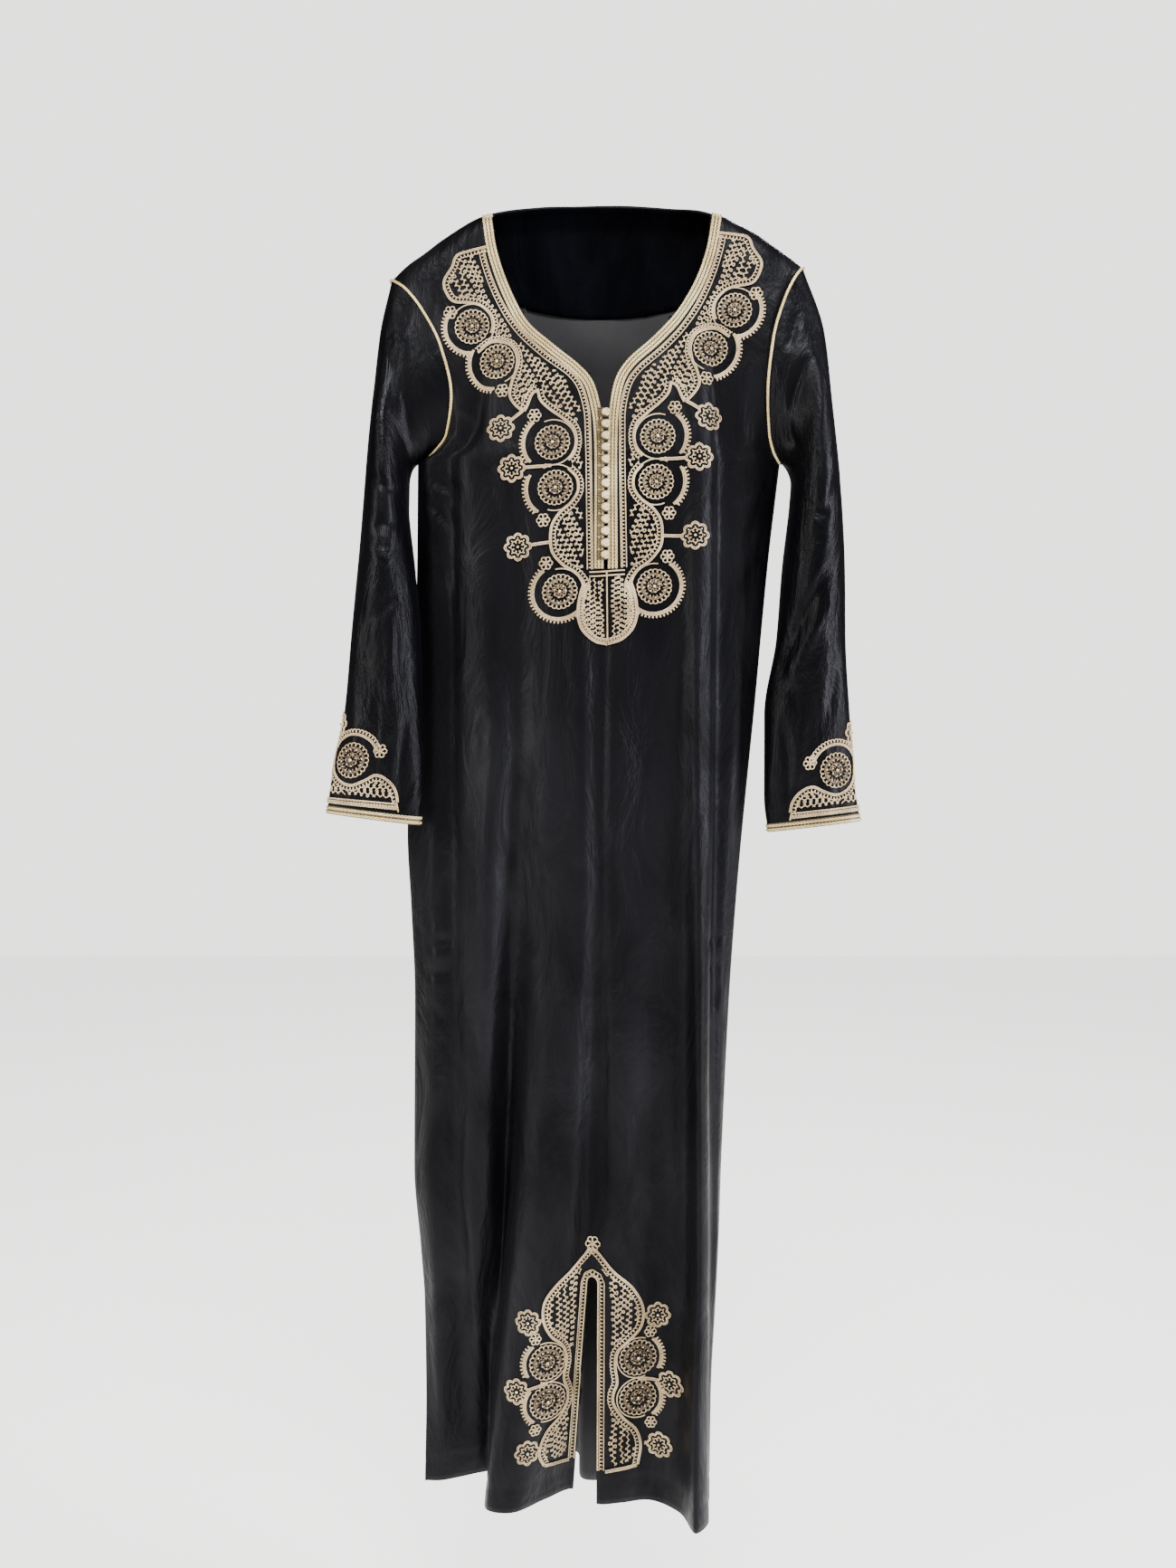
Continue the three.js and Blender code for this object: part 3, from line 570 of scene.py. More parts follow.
def object_place(tree):
    return add_node(tree, "ShaderNodeTexCoord").outputs["Object"]


def finish_surface(tree, values, links=None):
    """Ends a material in one shader, with its values and what drives the others."""
    shader = add_node(tree, "ShaderNodeBsdfPrincipled", values, links)
    add_node(tree, "ShaderNodeOutputMaterial", links={"Surface": shader})


def ramp(tree, source, stops):
    made = add_node(tree, "ShaderNodeValToRGB", links={"Fac": source})
    elements = made.color_ramp.elements
    while len(elements) < len(stops):
        elements.new(0.5)
    for element, (place, code) in zip(elements, stops):
        element.position = place
        element.color = linear(code)
    return made


WAVE_UNITS = 3.2  # a wave texture is about this many times finer than a noise of its scale


def scale_for(size_mm):
    """A noise scale whose patches are about this size."""
    return 1000 / size_mm


def velvet(name, deep, nap_and_sheen_grey, roughness, sheen, gloss_level, lower_light):
    """Silk velvet: short dense pile. It drinks light face on and glows grey where it leans away;
    hands and folding leave crushed patches, which the slow noise gives in the bump and roughness, and in
    the colour as a lighter grey that is partly random tone and partly painted sheen."""
    material, tree = new_material(name)
    place = object_place(tree)
    stretched = add_node(tree, "ShaderNodeMapping", {"Scale": (1, 1, 0.38)}, {"Vector": place})
    crushed = add_node(tree, "ShaderNodeTexNoise",
                       {"Scale": scale_for(42), "Detail": 5, "Roughness": 0.62, "Distortion": 0.8},
                       {"Vector": stretched})
    swept = add_node(tree, "ShaderNodeTexNoise",
                     {"Scale": scale_for(170), "Detail": 2, "Roughness": 0.5},
                     {"Vector": stretched})
    # The pile is 0.1 mm thick; it is drawn at 1.6 mm so that it shows.
    pile = add_node(tree, "ShaderNodeTexNoise",
                    {"Scale": scale_for(1.6), "Detail": 2, "Roughness": 0.6}, {"Vector": place})
    patches = add_node(tree, "ShaderNodeMath", operation="MULTIPLY", links={0: crushed, 1: swept})
    height = add_node(tree, "ShaderNodeSeparateXYZ", links={0: place})
    # Below the chest the colour is painted a lighter grey: painted light, where more light falls on the
    # lower body.
    lower_body_painted_light = add_node(tree, "ShaderNodeMapRange",
                       {"From Min": -0.34, "From Max": -0.62, "To Min": 0.0, "To Max": lower_light},
                       {"Value": height.outputs["Z"]})
    share = add_node(tree, "ShaderNodeMath", operation="ADD", use_clamp=True,
                     links={0: patches, 1: lower_body_painted_light})
    # The lighter stop is painted sheen on the patches and painted light below the chest.
    colour = ramp(tree, share, [(0.16, deep), (0.52, nap_and_sheen_grey)])
    gloss = add_node(tree, "ShaderNodeMapRange",
                     {"From Min": 0.3, "From Max": 0.7, "To Min": roughness + 0.16,
                      "To Max": roughness - 0.1}, {"Value": crushed})
    # Crushed pile leans in patches, which breaks the long lights up.
    leaning = add_node(tree, "ShaderNodeBump", {"Strength": 0.5, "Distance": 0.009},
                       {"Height": crushed})
    bump = add_node(tree, "ShaderNodeBump", {"Strength": 0.22, "Distance": 0.0006},
                    {"Height": pile, "Normal": leaning})
    finish_surface(tree, {"Sheen Weight": sheen, "Sheen Roughness": 0.32,
                          "Sheen Tint": linear("#8e93a3"), "Specular IOR Level": gloss_level,
                          "Specular Tint": linear("#e6e7ef")},
                   {"Base Color": colour, "Roughness": gloss, "Normal": bump})
    return material


def velvet_back(name, colour_a, colour_b):
    """Knitted ground of velvet, seen on the wrong side: matt, dark grey, with fine ribs."""
    material, tree = new_material(name)
    place = object_place(tree)
    # Ribs are 0.5 mm apart; they are drawn at 2 mm so that they show.
    ribs = add_node(tree, "ShaderNodeTexWave",
                    {"Scale": scale_for(2) / WAVE_UNITS, "Distortion": 0.6, "Detail": 1},
                    {"Vector": place})
    cloud = add_node(tree, "ShaderNodeTexNoise", {"Scale": scale_for(60), "Detail": 3},
                     {"Vector": place})
    colour = ramp(tree, cloud, [(0.3, colour_a), (0.7, colour_b)])
    bump = add_node(tree, "ShaderNodeBump", {"Strength": 0.15, "Distance": 0.0004},
                    {"Height": ribs.outputs["Fac"]})
    finish_surface(tree, {"Roughness": 0.92, "Specular IOR Level": 0.15, "Sheen Weight": 0.1},
                   {"Base Color": colour, "Normal": bump})
    return material


def metal_thread(name, shade, body, light, metallic, roughness, thread_mm):
    """Thread wound with gilt foil: its colour paints a soft glint on each strand and painted shade, a
    dull gold, in the hollows.
    """
    material, tree = new_material(name)
    place = object_place(tree)
    # Real strands are 0.2 mm wide; they are drawn at the given width so that they show.
    strands = add_node(tree, "ShaderNodeTexNoise",
                       {"Scale": scale_for(thread_mm), "Detail": 3, "Roughness": 0.7},
                       {"Vector": place})
    tarnish = add_node(tree, "ShaderNodeTexNoise", {"Scale": scale_for(35), "Detail": 2},
                       {"Vector": place})
    share = add_node(tree, "ShaderNodeMix", {0: 0.35},
                     {2: strands, 3: tarnish})
    colour = ramp(tree, share, [(0.32, shade), (0.5, body), (0.68, light)])
    rough = add_node(tree, "ShaderNodeMapRange",
                     {"From Min": 0.3, "From Max": 0.7, "To Min": roughness + 0.12,
                      "To Max": roughness - 0.1}, {"Value": strands})
    bump = add_node(tree, "ShaderNodeBump", {"Strength": 0.35, "Distance": 0.0004},
                    {"Height": strands})
    finish_surface(tree, {"Metallic": metallic},
                   {"Base Color": colour, "Roughness": rough, "Normal": bump})
    return material


def glass_bead(name):
    """Small silvered glass beads: hard bright points among the cords."""
    material, tree = new_material(name)
    place = object_place(tree)
    lots = add_node(tree, "ShaderNodeTexVoronoi", {"Scale": scale_for(6)}, {"Vector": place})
    colour = ramp(tree, lots, [(0.1, "#f2ead2"), (0.8, "#b9a781")])
    finish_surface(tree, {"Metallic": 0.55, "Roughness": 0.16, "IOR": 1.52},
                   {"Base Color": colour})
    return material


# Front and back: near black; the grey patches are partly random tone and partly painted sheen, and the
# lighter grey below the chest is painted light.
VELVET = velvet("silk_velvet_black", "#000001", "#18181b", 0.4, 0.015, 0.08, 0.09)
# Sleeves: the same cloth with less painted sheen and painted light in its colour, so that it stays
# blacker, and a little more gloss, so that it shines a little more.
VELVET_SLEEVE = velvet("silk_velvet_black_sleeve", "#000001", "#0f0f12", 0.36, 0.015, 0.1, 0.03)
# Facing: painted shade, near black and almost without gloss, as it lies in the neck's shadow with no
# light of its own.
FACING_PAINTED_SHADE = velvet("velvet_facing_painted_shade", "#000001", "#020307", 0.75, 0.0, 0.03, 0.0)
# Wrong side: a dull charcoal edge wherever the cloth's back can be seen.
WRONG_SIDE = velvet_back("velvet_wrong_side", "#242426", "#2f2f31")
# Thread: name, painted shade in its hollows, its body, its painted glints, metal, roughness, strand.
# The braid's bright chains, and the ground between them, dark gold as painted shade between the chains.
BRAID_THREAD = metal_thread("gilt_braid_thread", "#8d7847", "#d6c088", "#f6ebc6", 0.35, 0.4, 1.1)
BRAID_GROUND_SHADED = metal_thread("gilt_braid_ground_painted_shade", "#2a2214", "#4d4027", "#7d6b43", 0.3, 0.55, 1.1)
# The armholes' twisted gold line.
CORD_THREAD = metal_thread("gilt_piping_cord", "#8a7548", "#c9b27a", "#eadfb8", 0.35, 0.42, 1.1)
# The brightest gold, on the buttons, and the loops that part them, dark as painted shade beside the
# buttons.
KNOT_THREAD = metal_thread("gilt_knot_thread", "#8d7a4e", "#dfcd9c", "#fbf3d8", 0.4, 0.34, 1.2)
LOOP_THREAD_SHADED = metal_thread("gilt_loop_cord_painted_shade", "#2c2315", "#54462c", "#8a7750", 0.35, 0.45, 1.2)
# Greyed gold of the embroidery, and a browner one in the medallions' rings.
SOUTACHE = metal_thread("taupe_gold_soutache", "#6f5d45", "#b8a17c", "#e2d1ad", 0.25, 0.46, 1.3)
SOUTACHE_DARK = metal_thread("browner_soutache", "#382d22", "#6e5d46", "#a28e6f", 0.25, 0.5, 1.3)
BEAD = glass_bead("silvered_glass_bead")


# ---- the body ----
def neck_curve(side):
    return spaced(centripetal(NECK_EDGE[side], 12), 2.5)


def neck_opening():
    left, right = neck_curve("left"), neck_curve("right")
    top = PAST_EDGE["top"]
    return np.vstack([[(left[0, 0], top)], left, right[::-1], [(right[0, 0], top)]])


def hem_slit():
    (x, z), half = HEM_SLIT["top"], HEM_SLIT["half"]
    foot = HEM - PAST_EDGE["hem"]
    arch = [(x - half * math.cos(a), z - half + half * math.sin(a))
            for a in np.linspace(0, math.pi, 7)]
    return spaced([(HEM_SLIT["left"], foot), *arch, (HEM_SLIT["right"], foot)], 4)


front_form = panel_grid(FRONT_FOLDS, -1, FRONT_ROWS, FRONT_PER, 0, 0)
front_normals = grid_normals(front_form)
front_grid = creased(front_form, front_normals, FRONT_CREASES)
back_form = panel_grid(BACK_FOLDS, 1, BACK_ROWS, BACK_PER, BACK_ARM_STRAIGHT, BACK_NECK_RISE)
back_normals = -grid_normals(back_form)
back_grid = creased(back_form, back_normals, BACK_CREASES)


def make_front():
    cloth("front", *cut_out(front_grid, [neck_opening(), hem_slit()]), VELVET, "velvet")


def make_back():
    faces = grid_faces(*back_grid.shape[:2])[:, ::-1]
    cloth("back", back_grid.reshape(-1, 3), faces, VELVET, "velvet")


def make_facing():
    """The shaped facing behind the neck, nap inwards."""
    inner = back_form - back_normals * (WALL + 2 * GAP)
    half, depth, arch = FACING["half"], FACING["depth"], FACING["arch"]
    lower = [(t * half, -depth + arch * t * t) for t in np.linspace(-1, 1, 41)]
    kept = np.array([(-half, PAST_EDGE["top"]), *lower, (half, PAST_EDGE["top"])])
    verts, faces = cut_out(inner, [kept], FACING["snap"], keep=True)
    wall = cloth("back_neck_facing", verts, faces, FACING_PAINTED_SHADE, "velvet_facing", FACING["wall"])
    wall.offset = 1
    wall.material_offset = 0


# ---- sleeves ----
def armhole_loop(side):
    """Points round the armhole, down the front and up the back, with the ways outwards along
    the cloth and off it."""
    column, beside = (0, 1) if side == "left" else (-1, -2)
    down, up = slice(0, YOKE_ROWS + 1), slice(YOKE_ROWS - 1, 0, -1)

    def loop(front, back, column):
        return np.vstack([front[down, column], back[up, column]])

    ends = loop(front_form, back_form, column)
    away = ends - loop(front_form, back_form, beside)
    normals = loop(front_normals, back_normals, column)
    for values in (ends, away, normals):
        values[[0, YOKE_ROWS], 1] = 0
    return ends, unit(away), unit(normals)


def sleeve_form(ends, away, side):
    """The sleeve before its creases, ring by ring, and each ring's share of the way down."""
    angle = np.arange(len(ends)) * TAU / len(ends)
    lean = (1 + np.cos(angle)) / 2
    table = np.array(SLEEVES[side], float)
    stations = np.linspace(0, 1, len(table))

    def ring(t):
        ox, oz, ix, iz, y, deep = (through(stations, column, t) for column in table.T)
        return np.stack([mix(ix, ox, lean), y - deep * np.sin(angle), mix(iz, oz, lean)], axis=1)

    offset = ends + away * (GAP + 0.1) - ring(0)
    reach = mix(SEAM_FADE["under"], SEAM_FADE["top"], lean)
    steps = np.linspace(0, 1, SLEEVE_ROWS + 1) ** 1.15
    pull = [np.maximum(0, 1 - t / reach) ** 2 for t in steps]
    return np.array([ring(t) + offset * p[:, None] for t, p in zip(steps, pull)]), steps


def sleeve_normals(grid, side):
    return -SIGN[side] * grid_normals(grid, closed=True)


def make_sleeve(side, ends, away):
    grid, steps = sleeve_form(ends, away, side)
    normals = sleeve_normals(grid, side)
    x, y, z = grid[..., 0], grid[..., 1], grid[..., 2]
    to_front = 1 / (1 + np.exp((y - y.mean(1, keepdims=True)) / FRONT_TO_BACK))
    lift = crease_height(x, z, SLEEVE_CREASES[side]) * to_front
    lift += crease_height(x, z, SLEEVE_BACK_CREASES[side]) * (1 - to_front)
    edge_on = np.abs(np.sin(np.arange(grid.shape[1]) * TAU / grid.shape[1]))[None, :]
    fade = np.clip(edge_on * SLEEVE_EDGE["slope"], SLEEVE_EDGE["least"], 1)
    lift = lift * fade + ripple_height(grid)
    calm = np.clip(steps / SLEEVE_CALM["seam"], 0, 1)
    calm = calm * np.clip((1 - steps) / SLEEVE_CALM["cuff"], SLEEVE_CALM["least"], 1)
    grid = grid + normals * (lift * calm[:, None])[..., None]
    faces = grid_faces(*grid.shape[:2], closed=True)
    if side == "right":
        faces = faces[:, ::-1]
    cloth(f"sleeve_{side}", grid.reshape(-1, 3), faces, VELVET_SLEEVE, "velvet")
    return grid, sleeve_normals(grid, side)


# ---- trims ----
BEFORE = {"ray": -300, "search": -30}  # where a look for the front's surface starts


def front_mapper():
    """Takes places (x, z) on the front to points on its surface and the normals there."""
    verts = front_grid.reshape(-1, 3)
    faces = grid_faces(*front_grid.shape[:2])
    tree = BVHTree.FromPolygons(verts.tolist(), faces.tolist())

    def place(flat):
        points, normals = [], []
        for x, z in flat:
            hit, normal, _, _ = tree.ray_cast(Vector((x, BEFORE["ray"], z)), Vector((0, 1, 0)))
            if hit is None:
                hit, normal, _, _ = tree.find_nearest(Vector((x, BEFORE["search"], z)))
            points.append(hit)
            normals.append(normal if normal.y < 0 else -normal)
        smooth = np.array(normals)
        if len(smooth) > 4:
            kernel = np.ones(3) / 3
            padded = np.pad(smooth, ((1, 1), (0, 0)), mode="edge")
            smooth = np.stack([np.convolve(padded[:, k], kernel, "valid") for k in range(3)], 1)
        return np.array(points), unit(smooth)

    return place


def cuff_mapper(grid, normals):
    """Takes places (way round from the outer edge, height above the cuff) to the sleeve."""
    rows, cols = grid.shape[:2]
    height = gone(grid[::-1, 0])

    def place(flat):
        flat = np.asarray(flat, float)
        row = np.interp(flat[:, 1], height, np.arange(rows)[::-1])
        above = np.clip(row.astype(int), 0, rows - 2)
        found = []
        for (u, _), r, down in zip(flat, above, row - above):
            order = np.arange(cols // 2 + 1) * (1 if u >= 0 else -1) % cols
            at = np.interp(abs(u), gone(grid[r][order]), np.arange(len(order)))
            a, b = order[int(at)], order[min(int(at) + 1, len(order) - 1)]
            side = at - int(at)
            found.append([mix(mix(source[r, a], source[r, b], side),
                              mix(source[r + 1, a], source[r + 1, b], side), down)
                          for source in (grid, normals)])
        points, ups = np.array(found).transpose(1, 0, 2)
        return points, unit(ups)

    return place


def facing_frame(out):
    """Directions across, up and out of the cloth where it faces out."""
    across = unit(np.cross(out, (0.0, 0.0, 1.0)))
    return np.array([across, np.cross(across, out), out])


def as_drawn(flat):
    return flat


class Needlework:
    """Cords and beads worked on one surface, joined into one piece."""

    def __init__(self, place, turn=as_drawn):
        """Place takes flat places to the cloth; turn first lays the pattern out on the flat."""
        self.place, self.turn = place, turn
        self.verts, self.faces, self.kinds = [], [], []
        self.count = 0

    def add(self, verts, faces, kind):
        self.verts.append(verts)
        self.faces += [[i + self.count for i in face] for face in faces]
        self.kinds += [kind] * len(faces)
        self.count += len(verts)

    def cord(self, path, radius=0.7, step=CORD_STEP, layer=0.0, kind=0):
        """A cord laid along a path given on the flat pattern."""
        path = spaced(path, step)
        if len(path) > 2:
            points, normals = self.place(self.turn(path))
            self.add(*tube(points + normals * (GAP + radius + layer), normals, radius), kind)

    def cords(self, line, offsets, radius=0.7, layer=0.0):
        for off in offsets:
            self.cord(beside(line, off), radius, layer=layer)

    def bead(self, centre, radius):
        points, normals = self.place(self.turn(np.array([centre], float)))
        middle = points[0] + normals[0] * (GAP + radius * 0.6 + BEAD_LIFT)
        form, faces = ball(radius)
        self.add(middle + form @ facing_frame(normals[0]), faces, 1)

    def finish(self, name, materials=(SOUTACHE, BEAD, SOUTACHE_DARK)):
        piece = mesh_piece(name, np.vstack(self.verts), self.faces, materials, self.kinds)
        return settle(piece, name)


def sideways(path):
    """Unit vectors to the left of a path's way."""
    ahead = unit(np.gradient(np.asarray(path, float), axis=0))
    return np.stack([-ahead[:, 1], ahead[:, 0]], axis=1)


def beside(path, distance):
    return path + sideways(path) * distance


def circled(centre, radius, angle):
    """Places at angles round a centre. The radius may change on the way."""
    return np.asarray(centre, float) + (radius * np.array([np.cos(angle), np.sin(angle)])).T


def evenly(count, start=0.0):
    return start + TAU * np.arange(count) / count


def arc(centre, radius, start=0, end=360):
    count = max(4, int(abs(math.radians(end - start)) * radius / CORD_STEP))
    return circled(centre, radius, np.radians(np.linspace(start, end, count)))


def looped(path, pitch, radius, stretch=1.0, fine=0.8):
    """A row of small loops along a path, as a cord that curls back on itself."""
    path = spaced(path, fine)
    count = max(1, int(round(fine * (len(path) - 1) / pitch)))
    turn = np.linspace(0, TAU * count, 9 * count + 1)
    at = turn / turn[-1] * (len(path) - 1)
    base, side = (read_between(at, np.arange(len(path)), source) for source in (path, sideways(path)))
    ahead = np.stack([side[:, 1], -side[:, 0]], axis=1) * stretch
    return base + radius * (ahead * np.sin(turn)[:, None] - side * np.cos(turn)[:, None])


def medallion(work, centre, radius=19):
    """A round boss: loops round the rim, a ring cord, more loops, a coil, and beads."""
    work.cord(looped(arc(centre, radius - 2.2), radius * TAU / 24, 1.9, 0.8), 0.58)
    work.cord(arc(centre, radius - 5.2), 0.6, layer=0.3, kind=2)
    work.cord(looped(arc(centre, radius - 7.8), 4.2, 1.7, 0.8), 0.6, kind=2)
    angle = np.linspace(0, TAU * 2, 48)
    coil = circled(centre, mix(radius - 11.5, 2, angle / angle[-1]), angle)
    work.cord(looped(coil, 3.6, 1.3, 0.8), 0.6, kind=2)
    for count, share, start in ((12, 0.62, 0.1), (7, 0.33, 0.4)):
        for spot in circled(centre, radius * share, evenly(count, start)):
            work.bead(spot, 1)
    work.bead(centre, 2)


def petals(work, centre, radius=7.4):
    """A small flower of six single loops with a bead in its eye."""
    for spot in circled(centre, radius * 0.6, evenly(6)):
        work.cord(arc(spot, radius * 0.36, 0, 350))
    work.bead(centre, 1.2)


def lobed_rosette(work, centre, root, radius=15, lobes=8):
    """A scalloped rosette on a double stalk, with a petal and a bead in each lobe."""
    angle = np.linspace(0, TAU, 16 * lobes + 1)
    reach = radius * (0.74 + 0.24 * np.abs(np.cos(angle * lobes / 2)) ** 0.7)
    for grow in (1, 0.88):
        work.cord(circled(centre, reach * grow, angle), 0.65)
    petal_ring = arc(centre, radius * 0.4)
    work.cord(looped(petal_ring, radius * 0.4 * TAU / lobes, radius * 0.13, 0.7), 0.6)
    for spot in circled(centre, radius * 0.62, evenly(lobes)):
        work.bead(spot, 0.9)
    work.bead(centre, 1.6)
    start = np.array(centre) + unit(np.subtract(root, centre)) * radius * 0.95
    work.cords(spaced([start, root]), (-0.95, 0.95), 0.8)


def arm(work, centre, radius, start, end):
    """A C-shaped arm round a medallion: a double cord edged with loops on its outer side."""
    way = 1 if end > start else -1
    for grow in (0, 1.5):
        work.cord(arc(centre, radius + grow, start, end))
    rim = arc(centre, radius + 4.4, start + 4 * way, end - 3 * way)
    work.cord(looped(rim, 4, 1.8, 0.8), 0.62)


def scroll(work, points):
    """The smooth double cord that bounds a worked field, with loops along its inner side."""
    line = spaced(centripetal(points, 8))
    work.cords(line, (0, 1.6), 0.75, RAISED)
    work.cord(looped(beside(line, -3), 3.8, 1.7, 0.7), 0.6)
    return line


def meander_fill(work, outline, grain, seed, lane=9.0, pitch=6.6, inset=4.2):
    """Fills a field with curly worm-like cord, in uneven lanes along the grain."""
    draw = random.Random(seed)
    turn = math.radians(grain)
    along = np.array([math.cos(turn), math.sin(turn)])
    across = np.array([-along[1], along[0]])
    spread, reach = outline @ across, outline @ along
    edge = np.vstack([outline, outline[:1]])
    count = int((reach.max() - reach.min()) / pitch) + 1
    samples = np.linspace(0, count, count * 14 + 1)
    knots = np.linspace(0, count, max(4, count // 2))
    at = spread.min() + inset + lane * 0.3
    while at < spread.max():
        angle = samples * TAU + draw.uniform(0, TAU)
        grow = np.interp(samples, knots, [draw.uniform(0.5, 1.25) for _ in knots])
        drift = np.interp(samples, knots, [draw.uniform(-2, 2) for _ in knots])
        s = reach.min() + samples * pitch + 0.36 * pitch * np.sin(2 * angle) * grow
        w = at + drift + lane * 0.46 * grow * np.sin(angle)
        path = s[:, None] * along + w[:, None] * across
        good = inside(path, outline) & (nearest_on_path(path, edge)[1] > inset)
        changes = np.flatnonzero(np.diff(np.concatenate([[0], good, [0]])))
        for start, end in changes.reshape(-1, 2):
            if end - start > 6:
                work.cord(path[start:end], 0.6, step=1.15)
        at += lane


# ---- the flat pattern of the embroidery: distance from the middle line, height ----
CHEST_MEDALLIONS = [(142.5, -129), (115.5, -170), (56.5, -265), (54, -314), (50.5, -426)]
CHEST_ARMS = [  # centre row, radius, start and end angle
    (0, 28, 34, -87), (1, 29, 31, -84), (2, 30, 50, -40), (3, 30, 30, -53), (4, 28, 55, -135),
]
CHEST_RINGS = [(0, 40, 250), (1, 55, 250), (2, 70, 290), (3, 60, 290), (4, 80, 200)]
CHEST_PETALS = [(166, -112), (110, -203), (75.5, -234), (67.4, -348), (65, -394.5)]
CHEST_ROSETTES = [((112, -245), (88, -228)), ((100.5, -290), (58, -290)), ((95, -374.5), (60, -372))]
CHEST_SCROLLS = [
    [(126, -43), (144, -46), (158, -50), (163, -62), (172, -78), (168, -92), (162, -99), (144, -102),
     (132, -106), (121, -118), (119, -131), (121, -138)],
    [(137, -157), (124, -148), (116, -147), (100, -153), (93, -166), (94, -182), (99, -196),
     (101, -209), (96, -219), (87, -228)],
    [(71, -205), (68, -217), (59, -227), (44, -239), (33, -250), (30, -264), (33, -279), (39, -286)],
    [(39, -294), (30, -305), (29, -319), (36, -331), (49, -342), (57, -354), (59, -369),
     (57, -383), (46, -397), (32, -407), (24, -419), (23, -436)],
]
NECK_LINE = [(120.5, -15), (113, -56), (98.5, -96), (80, -128), (54.5, -155), (25, -180),
             (12.5, -198), (4, -229), (2.5, -262), (2.5, -404)]
NECK_BARE = 14  # points of a neck line left bare below the shoulder
# The inner tongue of the chest field, between its second and third scrolls.
FIELD_TONGUE = [(87, -228), (84, -222), (78, -209), (71, -205)]
LEAN = {"sway": -0.0128, "rise": 0.0625}  # of the front, down and outwards
TONGUE = [(24, -419), (28, -432), (30, -443), (30, -457), (25, -470), (14, -480), (0, -484)]
HEM_SCROLL = {
    "left": [(0, -1134), (5, -1140), (21, -1154), (40, -1171), (52, -1188), (53, -1207), (45, -1224),
             (32, -1237), (28, -1256), (31, -1277), (27, -1292), (27, -1305), (35, -1321),
             (49, -1333), (57, -1347), (59, -1360), (54, -1373)],
    "right": [(1, -1134), (8, -1140), (23, -1157), (43, -1176), (54, -1199), (52, -1219), (39, -1233),
              (27, -1245), (25, -1261), (27, -1280), (23, -1292), (23, -1303), (33, -1320),
              (47, -1335), (52, -1352), (49, -1374)],
}
HEM_SPREAD = {"middle": -12, "left": -0.94, "right": 1.02}
HEM_WORK_FOOT = -1378
HEM_MEDALLIONS = [((50, -1254), 52, -32), ((50, -1299), 40, -52)]  # with the ends of the arm
HEM_PETALS = [(63, -1226), (64, -1328)]
HEM_ROSETTES = [((71, -1208), (54, -1206)), ((84, -1283), (50, -1277)), ((73, -1352), (57, -1351))]
CUFF_MEDALLION, CUFF_FLOWER = (30, 58), (60, 68)
CUFF_SCROLL = [(3, 78), (4, 60), (8, 46), (18, 35), (32, 31), (46, 36), (58, 42), (70, 38), (79, 28),
               (82, 18)]


def hang(sign):
    """Lays the flat chest pattern on the hanging front: it leans with the front's sway."""
    lean = np.array([[sign, sign * LEAN["rise"]], [LEAN["sway"], 1]])
    return lambda flat: flat @ lean


def hem_hang(side):
    return lambda flat: flat * (HEM_SPREAD[side], 1) + (HEM_SPREAD["middle"], 0)


def neck_offset(distance):
    """A line beside the neck edge and the slit, on the flat pattern."""
    return beside(spaced(centripetal(NECK_LINE, 10), 2), distance)


def chest_field():
    """Outline of the worked field on one side of the neck, between the scrolls and the braid."""
    outer = [p for points in CHEST_SCROLLS for p in centripetal(points, 4)]
    inner = neck_offset(BRAID_WIDTH + 7)[::-1]
    return np.vstack([outer, inner])


def make_chest(side, place):
    work = Needlework(place, hang(SIGN[side]))
    for distance in (1.9, 7.6):
        work.cord(neck_offset(BRAID_WIDTH + distance)[NECK_BARE:], 0.6)
    work.cord(looped(neck_offset(BRAID_WIDTH + 4.7)[NECK_BARE:], 4, 1.7, 0.7), 0.56)
    for points in CHEST_SCROLLS + [FIELD_TONGUE]:
        scroll(work, points)
    for spot in CHEST_MEDALLIONS:
        medallion(work, spot)
    for which, radius, start, end in CHEST_ARMS:
        arm(work, CHEST_MEDALLIONS[which], radius, start, end)
    for which, start, end in CHEST_RINGS:
        work.cord(arc(CHEST_MEDALLIONS[which], 24.6, start, end))
    for spot in CHEST_PETALS:
        petals(work, spot)
    for centre, root in CHEST_ROSETTES:
        lobed_rosette(work, centre, root)
    meander_fill(work, chest_field(), 62, 11)
    work.finish(f"chest_embroidery_{side}")


def make_tongue(place):
    """The rounded tongue under the neck slit: one field on each side of a seam cord."""
    work = Needlework(place)
    edge = spaced(centripetal(TONGUE, 8))
    for sign in (-1, 1):
        work.turn = hang(sign)
        work.cords(edge, (0, 1.7), 0.9, RAISED)
        work.cord(looped(beside(edge, -2.9), 3.1, 1.5), 0.75)
        field = np.vstack([[(1, -410), (24, -410)], edge, [(1, -484)]])
        meander_fill(work, field, 90, 31 + sign, lane=6.4, pitch=5.4, inset=2.6)
    work.cord([(0, -408), (0, -482)], 0.8)
    for z in (-407, -411.5):
        work.cord([(-19, z), (19, z)], 0.85)
    work.finish("chest_embroidery_tongue")


def slit_edge(side, distance):
    """A line beside the hem slit, from above its top down to the foot of the embroidery."""
    (x, z), half, sign = HEM_SLIT["top"], HEM_SLIT["half"], SIGN[side]
    share = (HEM_WORK_FOOT - z) / (HEM - z)
    foot = mix(x + sign * half, HEM_SLIT[side], share) + sign * distance
    return np.array([
        (x, z + distance),
        (x + sign * (half + distance) * 0.7, z - half * 0.3 + distance * 0.7),
        (x + sign * (half + distance), z - half),
        (foot, HEM_WORK_FOOT),
    ])


